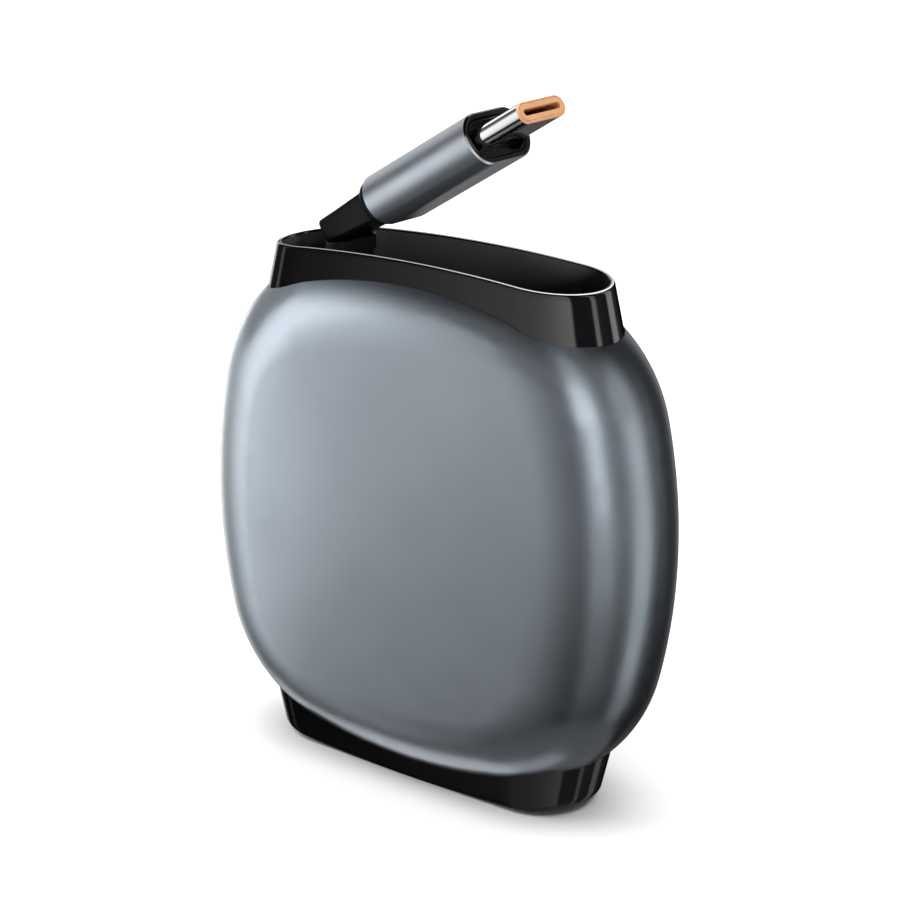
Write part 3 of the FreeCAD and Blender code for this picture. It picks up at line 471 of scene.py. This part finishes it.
contact_gold = finish("contact_gold", 1.0, 0.2)
tint(contact_gold, (0.80, 0.56, 0.20), (0.86, 0.64, 0.28), 1800.0)
contact_tree = bpy.data.node_groups.new("contact_rows", "GeometryNodeTree")
contact_tree.interface.new_socket("Geometry", in_out="OUTPUT", socket_type="NodeSocketGeometry")
contact_keys = {}
for label, kind, size in CONTACT_SIZES:
    socket = contact_tree.interface.new_socket(label, in_out="INPUT", socket_type=kind)
    socket.default_value = size
    contact_keys[label] = socket.identifier
nodes, links = contact_tree.nodes, contact_tree.links
sizes_in = nodes.new("NodeGroupInput")
finger_size = nodes.new("ShaderNodeCombineXYZ")
for axis, label in (("X", "Length"), ("Y", "Width"), ("Z", "Thickness")):
    links.new(sizes_in.outputs[label], finger_size.inputs[axis])
finger = nodes.new("GeometryNodeMeshCube")
finger.inputs["Vertices X"].default_value = finger_stations
links.new(finger_size.outputs["Vector"], finger.inputs["Size"])
both_rows = nodes.new("GeometryNodeJoinGeometry")
half_row = -(contact_count - 1) / 2
for sign in (-1.0, 1.0):
    row = nodes.new("GeometryNodeMeshLine")
    row.mode = "OFFSET"
    links.new(sizes_in.outputs["Count"], row.inputs["Count"])
    gap = nodes.new("ShaderNodeCombineXYZ")
    links.new(sizes_in.outputs["Pitch"], gap.inputs["Y"])
    links.new(gap.outputs["Vector"], row.inputs["Offset"])
    row_start = nodes.new("ShaderNodeCombineXYZ")
    row_aside = worked_out(contact_tree, "MULTIPLY", sizes_in.outputs["Pitch"], half_row)
    row_level = worked_out(contact_tree, "MULTIPLY", sizes_in.outputs["Row Height"], sign)
    links.new(row_aside, row_start.inputs["Y"])
    links.new(row_level, row_start.inputs["Z"])
    links.new(row_start.outputs["Vector"], row.inputs["Start Location"])
    fingers = nodes.new("GeometryNodeInstanceOnPoints")
    links.new(row.outputs["Mesh"], fingers.inputs["Points"])
    links.new(finger.outputs["Mesh"], fingers.inputs["Instance"])
    links.new(fingers.outputs["Instances"], both_rows.inputs["Geometry"])
whole = nodes.new("GeometryNodeRealizeInstances")
plated = nodes.new("GeometryNodeSetMaterial")
plated.inputs["Material"].default_value = contact_gold
made = nodes.new("NodeGroupOutput")
links.new(both_rows.outputs["Geometry"], whole.inputs["Geometry"])
links.new(whole.outputs["Geometry"], plated.inputs["Geometry"])
links.new(plated.outputs["Geometry"], made.inputs["Geometry"])


def grown_by_nodes(name, tree, keys, sizes):
    """Run a node tree on an empty mesh and keep what it makes as a plain mesh."""
    piece = bpy.data.objects.new(name, bpy.data.meshes.new(name))
    bpy.context.scene.collection.objects.link(piece)
    modifier = piece.modifiers.new("grown", "NODES")
    modifier.node_group = tree
    for label, size in sizes.items():
        modifier[keys[label]] = size
    evaluated = piece.evaluated_get(bpy.context.evaluated_depsgraph_get())
    piece.data = bpy.data.meshes.new_from_object(evaluated)
    piece.modifiers.clear()
    return piece


contact_middle = connector_tip - contact_setback - contact_length / 2
row_sizes = {"Count": contact_count}
for prefix in plug_places:
    contacts = grown_by_nodes(f"{prefix}_contact_fingers", contact_tree, contact_keys, row_sizes)
    place = plug_places[prefix] @ Matrix.Translation((contact_middle, 0.0, 0.0))
    place.translation *= MM
    contacts.data.transform(place)
    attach(contacts, f"{prefix}_plug")
    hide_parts(f"{prefix}_plug_contacts")

# Connector insulators: orange moulded blocks that hold the contacts, with the slot for a socket's tongue.
# The steel shell is pressed over each of them.
liner_half_width, liner_half_height, liner_front = 3.87, 0.945, connector_tip - 0.03
tongue_half_width, tongue_half_height, tongue_depth = 3.35, 0.42, 5.4
plug_straight_steps, plug_round_steps = 10, 24
# Pairs of distance along the plug and inset, over the block's outside and then down its slot.
LINER_STEPS = ((connector_start, 0.0), (liner_front - 0.02, 0.0), (liner_front, 0.02))
TONGUE_STEPS = (
    (liner_front, 0.02), (liner_front - 0.06, 0.06), (liner_front - 0.7, 0.06), (liner_front - 0.75, 0.0),
    (liner_front - tongue_depth, 0.0),
)


def plug_rings(steps, half_width, half_height):
    """Loops round the plug's axis from pairs of distance and inset."""
    rings = []
    for distance, inset in steps:
        loop = stadium_loop(half_width - inset, half_height - inset, plug_straight_steps, plug_round_steps)
        rings.append([(distance, along, aside) for along, aside in loop])
    return rings


def plug_piece(name, prefix, node, material, shape, smooth_angle=crease_angle):
    """Put a shape that is drawn along the plug's axis on its plug, in place of a CAD node."""
    bmesh.ops.transform(shape, matrix=plug_places[prefix], verts=shape.verts)
    piece = finished_piece(f"{prefix}_{name}", shape, smooth_angle)
    piece.data.materials.append(material)
    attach(piece, f"{prefix}_plug")
    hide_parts(f"{prefix}_{node}")
    return piece


liner_orange = finish("liner_orange", 0.0, 0.42)
tint(liner_orange, (0.65, 0.338, 0.165), (0.71, 0.378, 0.194), 900.0)
pitted(liner_orange, 0.12, 0.00002, 5200.0)
liner_rings = plug_rings(LINER_STEPS, liner_half_width, liner_half_height)
tongue_rings = plug_rings(TONGUE_STEPS, tongue_half_width, tongue_half_height)
liner_rear, tongue_end = (connector_start, 0.0, 0.0), (liner_front - tongue_depth, 0.0, 0.0)
for prefix in plug_places:
    shape = bmesh.new()
    loft(shape, liner_rings + tongue_rings, first_tip=liner_rear, last_tip=tongue_end)
    plug_piece("insulator", prefix, "plug_liner", liner_orange, shape)

# Connector shells: seamless drawn steel, nickel-plated and polished along its length. The mouth has a rolled
# lip that is coated orange like the insulator in it.
connector_half_width, connector_half_height, connector_wall = 4.125, 1.2, 0.25
polish_stretch = (8.0, 1.0, 1.0)
CONNECTOR_STEPS = (
    (connector_start, 0.0), (connector_tip - 0.35, 0.0), (connector_tip - 0.10, 0.03), (connector_tip, 0.10),
    (connector_tip - 0.02, 0.18), (connector_tip - 0.1, connector_wall), (connector_start, connector_wall),
)
lip_first, lip_last, lip_index = 1, 5, 1
connector_steel = finish("connector_steel", 1.0, 0.08)
tint(connector_steel, (0.66, 0.66, 0.66), (0.74, 0.74, 0.73), 220.0)
uneven_gloss(connector_steel, 0.06, 0.11, 1500.0, 2.0, polish_stretch, -plug_tilt)
connector_rings = plug_rings(CONNECTOR_STEPS, connector_half_width, connector_half_height)
connector_shells = []
for prefix in plug_places:
    shape = bmesh.new()
    loops = loft(shape, connector_rings, closed=True)
    paint(shape, loops, lip_first, lip_last, lip_index)
    barrel = plug_piece("connector_shell", prefix, "plug_shell", connector_steel, shape)
    barrel.data.materials.append(liner_orange)
    connector_shells.append(barrel)

# Plug sleeves: drawn aluminium tubes, satin like the case, slid over the connector and its board. Each end
# has a bright cut bevel, and the mouth is dark inside.
sleeve_start, sleeve_end, sleeve_half_width, sleeve_half_height, sleeve_wall = 7.5, 24.1, 5.5, 3.0, 0.7
# Pairs of distance along the plug and inset, from the rear end over the outside and into the mouth.
SLEEVE_STEPS = (
    (sleeve_start, 0.40), (sleeve_start, 0.25), (sleeve_start + 0.25, 0.0), (sleeve_start + 0.9, 0.0),
    (sleeve_end - 0.9, 0.0), (sleeve_end - 0.18, 0.0), (sleeve_end, 0.18), (sleeve_end - 0.05, 0.45),
    (sleeve_end - 0.2, sleeve_wall), (sleeve_end - 1.0, sleeve_wall), (sleeve_start + 0.25, sleeve_wall),
)
bevel_index, mouth_index = 1, 2
# The rear bevel, the front bevel and the mouth: the first and last of their steps, and their material slot.
SLEEVE_PAINT = ((1, 2, bevel_index), (5, 6, bevel_index), (6, 9, mouth_index))
sleeve_crease_angle = 25.0
sleeve_grey = satin_metal("sleeve_grey", (0.215, 0.236, 0.262), (0.236, 0.258, 0.285), 0.31, 0.85)
cut_bevel = finish("cut_bevel", 1.0, 0.16)
tint(cut_bevel, (0.62, 0.65, 0.69), (0.70, 0.73, 0.76), 300.0)
mouth_black = finish("mouth_black", 0.3, 0.35)
tint(mouth_black, (0.010, 0.010, 0.011), (0.016, 0.016, 0.018), 500.0)
sleeve_rings = plug_rings(SLEEVE_STEPS, sleeve_half_width, sleeve_half_height)
sleeves = []
for prefix in plug_places:
    shape = bmesh.new()
    loops = loft(shape, sleeve_rings, closed=True)
    for first, last, index in SLEEVE_PAINT:
        paint(shape, loops, first, last, index)
    sleeve = plug_piece("sleeve", prefix, "plug_sleeve", sleeve_grey, shape,
                        sleeve_crease_angle)
    sleeve.data.materials.append(cut_bevel)
    sleeve.data.materials.append(mouth_black)
    sleeves.append(sleeve)

# Plug fronts: black mouldings pressed a little way back into the sleeves' mouths. Each is dished down to the
# connector that it grips.
insert_front, insert_length, insert_dish = sleeve_end - 0.2, 3.0, 0.7
insert_half_width, insert_half_height, grip_half_width, grip_half_height = 4.78, 2.28, 4.145, 1.22
INSERT_STEPS = (
    (insert_front - insert_length, 0.0), (insert_front - 0.15, 0.0), (insert_front, 0.15),
    (insert_front - 0.05, 0.30),
)
GRIP_STEPS = (
    (insert_front - insert_dish, -0.25), (insert_front - insert_dish - 0.12, 0.0),
    (insert_front - insert_length, 0.0),
)
insert_black = finish("insert_black", 0.0, 0.22)
tint(insert_black, (0.0042, 0.0042, 0.0049), (0.0070, 0.0070, 0.0077), 400.0)
pitted(insert_black, 0.15, 0.00002, 3800.0)
insert_rings = plug_rings(INSERT_STEPS, insert_half_width, insert_half_height)
grip_rings = plug_rings(GRIP_STEPS, grip_half_width, grip_half_height)
black_mouldings = list(cradles)
for prefix in plug_places:
    shape = bmesh.new()
    loft(shape, insert_rings + grip_rings, closed=True)
    insert = plug_piece("front_insert", prefix, "plug_insert", insert_black, shape)
    black_mouldings.append(insert)

# Strain reliefs: soft black mouldings, cast on the cable's ends. A square knuckle closes round the cable's
# bend, and the neck widens from there to a rounded collar against the sleeve.
knuckle, knuckle_round, knuckle_steps = 1.5, 0.5, 6
neck_half_width, neck_end_half_height, neck_corner = 3.8, 1.9, 0.5
NECK_DISTANCES = (1.6, 3.2, 4.8, 6.2)
# Distance along the plug, half width, half height and corner radius of the collar's sections.
COLLAR = (
    (6.6, 3.85, 1.92, 0.6), (6.7, 4.5, 2.3, 1.4), (6.75, 4.95, 2.5, 2.2), (6.9, 5.15, 2.66, 2.6),
    (7.15, 5.2, 2.7, 2.66), (7.42, 5.2, 2.7, 2.66), (7.5, 5.1, 2.6, 2.55),
)
neck_corner_steps, fullest_corner, neck_crease_angle = 7, 0.98, 40.0


def rounded_box_loop(half_width, half_height, corner):
    """A rectangle with round corners, as (along, aside) pairs, anticlockwise."""
    corner = min(corner, half_height * fullest_corner)
    points = []
    for turn, across, up in ((0, 1, -1), (1, 1, 1), (2, -1, 1), (3, -1, -1)):
        for step in range(neck_corner_steps + 1):
            angle = (turn - 1) * math.pi / 2 + math.pi / 2 * step / neck_corner_steps
            points.append((across * (half_width - corner) + corner * math.cos(angle),
                           up * (half_height - corner) + corner * math.sin(angle)))
    return points


relief_black = finish("relief_black", 0.0, 0.34)
tint(relief_black, (0.0036, 0.0036, 0.0040), (0.0056, 0.0056, 0.0060), 300.0)
uneven_gloss(relief_black, 0.28, 0.40, 700.0)
pitted(relief_black, 0.2, 0.00003, 4200.0)
sections = []
for step in range(knuckle_steps + 1):
    turn = math.pi / 2 * step / knuckle_steps
    pull = knuckle_round * (1 - math.sin(turn))
    distance = -knuckle + knuckle_round * (1 - math.cos(turn))
    sections.append((distance, neck_half_width - pull, knuckle - pull, neck_corner))
for distance in NECK_DISTANCES:
    part = distance / sleeve_start
    half_height = knuckle + (neck_end_half_height - knuckle) * part
    sections.append((distance, neck_half_width, half_height, neck_corner))
sections += COLLAR
neck_rings = [
    [(distance, along, aside) for along, aside in rounded_box_loop(half_width, half_height, corner)]
    for distance, half_width, half_height, corner in sections
]
for prefix in plug_places:
    shape = bmesh.new()
    loft(shape, neck_rings, first_tip=(-knuckle, 0.0, 0.0), last_tip=(sleeve_start, 0.0, 0.0))
    neck = plug_piece("neck_moulding", prefix, "strain_relief", relief_black, shape,
                      neck_crease_angle)
    black_mouldings.append(neck)

# Studio: a plain pale floor under a large overhead softbox, with a key softbox at the left and a small lamp
# for the docks alone. Panels that only reflections show stand all round, one wall of them for each finish,
# because satin metal, gloss black and polished steel are each lit in their own way.
scene = bpy.context.scene
floor_half = 4.0
floor_mesh = bpy.data.meshes.new("floor")
floor_mesh.from_pydata([(-floor_half, -floor_half, 0.0), (floor_half, -floor_half, 0.0),
                        (floor_half, floor_half, 0.0), (-floor_half, floor_half, 0.0)], [], [(0, 1, 2, 3)])
floor_white = finish("floor_white", 0.0, 0.9)
floor_shader = floor_white.node_tree.nodes["Principled BSDF"]
floor_shader.inputs["Base Color"].default_value = (0.90, 0.90, 0.90, 1.0)
floor_shader.inputs["Specular IOR Level"].default_value = 0.0
floor_mesh.materials.append(floor_white)
floor = bpy.data.objects.new("floor", floor_mesh)
scene.collection.objects.link(floor)
floor.visible_glossy = False

world = bpy.data.worlds.new("studio")
scene.world = world
world.use_nodes = True
world.node_tree.nodes["Background"].inputs["Color"].default_value = (1.0, 1.0, 1.0, 1.0)
world.node_tree.nodes["Background"].inputs["Strength"].default_value = 0.22


def softbox(name, place, target, width, height, power):
    """An area lamp aimed at a point, which reflections leave out."""
    light = bpy.data.lights.new(name, "AREA")
    light.shape = "RECTANGLE"
    light.size, light.size_y = width, height
    light.energy = power
    lamp = bpy.data.objects.new(name, light)
    lamp.location = place
    lamp.rotation_euler = (Vector(target) - Vector(place)).to_track_quat("-Z", "Y").to_euler()
    lamp.visible_glossy = False
    scene.collection.objects.link(lamp)
    return lamp


overhead = softbox("overhead", (0.0, 0.2, 2.0), (0.0, 0.2, 0.0), 3.0, 3.0, 95.0)
key = softbox("key", (-0.42, -0.26, 0.34), (-0.01, -0.01, 0.045), 0.30, 0.36, 1.6)
dock_fill = softbox("dock_fill", (0.47, -0.17, 0.115), (0.0, 0.0, 0.06), 0.12, 0.12, 9.0)

# Each wall's glow by bearing, in degrees from the front round to the right, and its share by height in
# metres: one for the satin case, one for the black mouldings, one for the steel and one for the sleeves.
METAL_BEARINGS = (
    (-180, 0.30), (-171, 0.35), (-150, 0.20), (-135, 0.15), (-126, 0.90), (-114, 2.50), (-102, 1.10),
    (-87, 0.85), (-75, 1.60), (-66, 2.40), (-52, 2.85), (-46, 1.62), (-39, 1.07), (-27, 0.92), (-6, 0.92),
    (6, 0.73), (18, 0.55), (30, 0.39), (42, 0.30), (50, 0.60), (57, 1.52), (63, 2.10), (69, 1.75),
    (76, 0.56), (90, 0.36), (99, 0.68), (111, 1.38), (121, 1.15), (130, 0.55), (144, 0.10), (165, 0.06),
    (180, 0.20),
)
METAL_HEIGHTS = (
    (-0.45, 0.15), (-0.25, 0.27), (-0.165, 0.48), (-0.10, 0.74), (-0.04, 0.98), (0.085, 1.04), (0.23, 1.05),
    (0.30, 0.62), (0.36, 0.26), (0.45, 0.12),
)
BLACK_BEARINGS = (
    (-180, 0.00), (-128, 0.00), (-122, 1.30), (-112, 1.30), (-106, 0.05), (-84, 0.05), (-81, 0.60),
    (-77, 0.60), (-72, 0.05), (-48, 0.06), (-40, 0.12), (-38, 0.32), (-36, 0.44), (-34, 0.58), (-32, 0.80),
    (-25, 0.90), (1, 1.00), (13, 1.15), (26, 1.40), (38, 1.75), (51, 2.20), (66, 2.60), (70, 0.00),
    (104, 0.00), (107, 2.30), (113, 2.30), (116, 0.10), (140, 0.00), (144, 2.10), (157, 1.50), (162, 0.10),
    (180, 0.00),
)
BLACK_HEIGHTS = (
    (-0.45, 0.22), (-0.12, 0.25), (-0.07, 1.00), (0.06, 1.00), (0.12, 0.90), (0.25, 0.60), (0.45, 0.60),
)
STEEL_BEARINGS = (
    (-180, 0.10), (-150, 0.10), (-124, 0.15), (-112, 1.80), (-98, 1.80), (-90, 0.40), (-84, 0.14),
    (-64, 0.10), (-56, 0.40), (-48, 1.30), (-36, 1.40), (-24, 1.20), (-8, 0.70), (20, 0.30), (60, 0.25),
    (66, 1.20), (90, 0.20), (120, 0.80), (150, 0.10), (180, 0.10),
)
STEEL_HEIGHTS = ((-0.45, 0.02), (-0.20, 0.03), (-0.13, 0.70), (-0.08, 1.00), (0.45, 1.00))
SLEEVE_BEARINGS = (
    (-180, 0.20), (-150, 0.40), (-130, 1.00), (-112, 1.35), (-94, 1.35), (-84, 0.95), (-74, 0.30),
    (-64, 0.10), (-55, 0.25), (-49, 1.80), (-43, 3.00), (-33, 3.10), (-27, 2.20), (-15, 1.20), (10, 0.70),
    (40, 0.40), (60, 0.90), (90, 0.40), (115, 1.00), (145, 0.20), (180, 0.20),
)
SLEEVE_HEIGHTS = ((-0.45, 0.10), (-0.35, 0.14), (-0.21, 0.34), (-0.11, 0.80), (-0.04, 1.00), (0.45, 1.00))
panel_low, panel_high, panel_peak, wall_steps = -0.45, 0.45, 4.0, 120


def reflected_panel(name, points, faces):
    """A mesh that shows in glossy surfaces and nowhere else, with its node tree and the glow in that."""
    mesh = bpy.data.meshes.new(name)
    mesh.from_pydata(points, [], faces)
    panel = bpy.data.objects.new(name, mesh)
    scene.collection.objects.link(panel)
    for ray in ("camera", "diffuse", "transmission", "volume_scatter", "shadow"):
        setattr(panel, f"visible_{ray}", False)
    material = bpy.data.materials.new(f"{name}_glow")
    material.use_nodes = True
    material.cycles.emission_sampling = "NONE"
    mesh.materials.append(material)
    tree = material.node_tree
    tree.nodes.remove(tree.nodes["Principled BSDF"])
    glow = tree.nodes.new("ShaderNodeEmission")
    tree.links.new(glow.outputs["Emission"], tree.nodes["Material Output"].inputs["Surface"])
    return panel, tree, glow


def glow_along(tree, source, low, high, stops):
    """A share of the peak glow that follows stops, spread over a value's range from low to high."""
    share = tree.nodes.new("ShaderNodeMapRange")
    share.inputs["From Min"].default_value = low
    share.inputs["From Max"].default_value = high
    tree.links.new(source, share.inputs["Value"])
    ramp = tree.nodes.new("ShaderNodeValToRGB")
    elements = ramp.color_ramp.elements
    while len(elements) < len(stops):
        elements.new(0.5)
    first, last = stops[0][0], stops[-1][0]
    for element, (spot, amount) in zip(elements, stops):
        level = amount / panel_peak
        element.position = (spot - first) / (last - first)
        element.color = (level, level, level, 1.0)
    tree.links.new(share.outputs["Result"], ramp.inputs["Fac"])
    return ramp.outputs["Color"]


def panel_wall(name, radius, bearings, heights, see_through):
    """A round wall of soft panels; a see-through one adds its glow to what stands behind it."""
    points, faces = [], []
    for step in range(wall_steps):
        angle = 2 * math.pi * step / wall_steps
        for height in (panel_low, panel_high):
            points.append((radius * math.sin(angle), -radius * math.cos(angle), height))
        near, far = 2 * step, 2 * ((step + 1) % wall_steps)
        faces.append((near, far, far + 1, near + 1))
    wall, tree, glow = reflected_panel(name, points, faces)
    nodes, links = tree.nodes, tree.links
    if see_through:
        clear = nodes.new("ShaderNodeBsdfTransparent")
        both = nodes.new("ShaderNodeAddShader")
        links.new(glow.outputs["Emission"], both.inputs[0])
        links.new(clear.outputs["BSDF"], both.inputs[1])
        links.new(both.outputs["Shader"], nodes["Material Output"].inputs["Surface"])
    split = nodes.new("ShaderNodeSeparateXYZ")
    links.new(nodes.new("ShaderNodeTexCoord").outputs["Object"], split.inputs["Vector"])
    forward = worked_out(tree, "MULTIPLY", split.outputs["Y"], -1.0)
    bearing = worked_out(tree, "ARCTAN2", split.outputs["X"], forward)
    by_bearing = glow_along(tree, bearing, -math.pi, math.pi, bearings)
    by_height = glow_along(tree, split.outputs["Z"], panel_low, panel_high, heights)
    level = worked_out(tree, "MULTIPLY", by_bearing, by_height)
    links.new(worked_out(tree, "MULTIPLY", level, panel_peak ** 2), glow.inputs["Strength"])
    return wall


# Softboxes and flags before the satin metal's wall: first and last bearing, lowest and highest point, glow.
STRIPS = (
    (-150, -76, 0.045, 0.26, 0.55), (-128, -95, -0.44, -0.26, 0.85), (-44, -34, 0.10, 0.27, 1.36),
    (-44, -34, 0.27, 0.40, 1.18), (-34, -24, 0.22, 0.39, 0.93), (-24, -14, 0.22, 0.39, 0.82),
    (-14, 5, 0.31, 0.45, 0.44), (5, 46, 0.30, 0.45, 0.40), (48, 72, 0.32, 0.45, 1.15),
    (72, 84, 0.30, 0.45, 0.60), (84, 112, 0.30, 0.45, 0.36), (48, 72, 0.14, 0.32, 2.25),
    (55, 75, -0.12, -0.02, 0.75), (55, 75, -0.25, -0.12, 0.36), (55, 75, -0.45, -0.25, 0.10),
    (102, 125, 0.12, 0.30, 0.85), (102, 125, -0.12, -0.02, 1.18), (102, 125, -0.25, -0.12, 0.98),
    (102, 125, -0.40, -0.25, 0.44),
)
strip_radius, strip_steps = 0.345, 12
# Level panels: a bright table top in two parts, which lights the lower edge of the case, and a dim ceiling
# with brighter parts. Each has its left, right, front and back edge, its height and its glow.
LEVELS = (
    (-0.34, -0.09, -0.05, 0.28, -0.42, 1.05), (-0.09, 0.08, -0.07, 0.06, -0.42, 0.70),
    (-0.345, 0.345, -0.345, 0.345, 0.45, 0.09), (-0.264, -0.06, -0.345, -0.17, 0.445, 0.28),
    (-0.06, 0.12, -0.345, -0.24, 0.445, 0.27), (-0.06, 0.12, -0.24, 0.06, 0.445, 0.15),
    (0.12, 0.345, -0.345, 0.06, 0.445, 0.26), (0.19, 0.335, -0.22, -0.09, 0.44, 0.75),
)
points, faces, glows = [], [], []
for left, right, front, back, height, level_glow in LEVELS:
    corner = len(points)
    points += [(left, front, height), (right, front, height), (right, back, height), (left, back, height)]
    faces.append((corner, corner + 1, corner + 2, corner + 3))
    glows += [level_glow] * 4
for first, last, low, high, strip_glow in STRIPS:
    for step in range(strip_steps + 1):
        angle = math.radians(first + (last - first) * step / strip_steps)
        if step > 0:
            corner = len(points) - 2
            faces.append((corner, corner + 2, corner + 3, corner + 1))
        for height in (low, high):
            points.append((strip_radius * math.sin(angle), -strip_radius * math.cos(angle), height))
            glows.append(strip_glow)
metal_strips, tree, glow = reflected_panel("metal_strips", points, faces)
metal_strips.data.attributes.new("glow", "FLOAT", "POINT").data.foreach_set("value", glows)
strip_level = tree.nodes.new("ShaderNodeAttribute")
strip_level.attribute_name = "glow"
tree.links.new(strip_level.outputs["Fac"], glow.inputs["Strength"])

metal_radius, black_radius, steel_radius, sleeve_radius = 0.35, 0.34, 0.33, 0.32
metal_panels = panel_wall("metal_panels", metal_radius, METAL_BEARINGS, METAL_HEIGHTS, see_through=False)
black_panels = panel_wall("black_panels", black_radius, BLACK_BEARINGS, BLACK_HEIGHTS, see_through=True)
steel_panels = panel_wall("steel_panels", steel_radius, STEEL_BEARINGS, STEEL_HEIGHTS, see_through=True)
sleeve_panels = panel_wall("sleeve_panels", sleeve_radius, SLEEVE_BEARINGS, SLEEVE_HEIGHTS, see_through=True)
own_walled = black_mouldings + connector_shells + sleeves
for light, state, pieces in (
    (metal_panels, "EXCLUDE", own_walled), (metal_strips, "EXCLUDE", own_walled),
    (black_panels, "INCLUDE", black_mouldings), (steel_panels, "INCLUDE", connector_shells),
    (sleeve_panels, "INCLUDE", sleeves), (overhead, "EXCLUDE", black_mouldings),
    (key, "EXCLUDE", black_mouldings), (dock_fill, "INCLUDE", cradles),
):
    linked = bpy.data.collections.new(f"{light.name}_linked")
    for piece in pieces:
        linked.objects.link(piece)
    for entry in linked.collection_objects:
        entry.light_linking.link_state = state
    light.light_linking.receiver_collection = linked

# Camera: stands at the photograph's own angle, with its lens and its slight roll.
view_camera = bpy.data.cameras.new("photo_view")
view_camera.sensor_fit = "HORIZONTAL"
view_camera.sensor_width = 36.0
view_camera.lens = 89.266
view_camera.clip_start = 0.01
eye = Vector((0.14685, -0.19260, 0.11966))
aim = Vector((0.001483, 0.0, 0.03895))
roll = math.radians(0.235)
ahead = (aim - eye).normalized()
side = ahead.cross(Vector((0.0, 0.0, 1.0))).normalized()
above = side.cross(ahead)
turned_side = side * math.cos(roll) + above * math.sin(roll)
turned_above = above * math.cos(roll) - side * math.sin(roll)
photo_view = bpy.data.objects.new("photo_view", view_camera)
photo_view.matrix_world = Matrix((
    (turned_side.x, turned_above.x, -ahead.x, eye.x),
    (turned_side.y, turned_above.y, -ahead.y, eye.y),
    (turned_side.z, turned_above.z, -ahead.z, eye.z),
    (0.0, 0.0, 0.0, 1.0),
))
scene.collection.objects.link(photo_view)
scene.camera = photo_view
scene.view_settings.view_transform = "Standard"
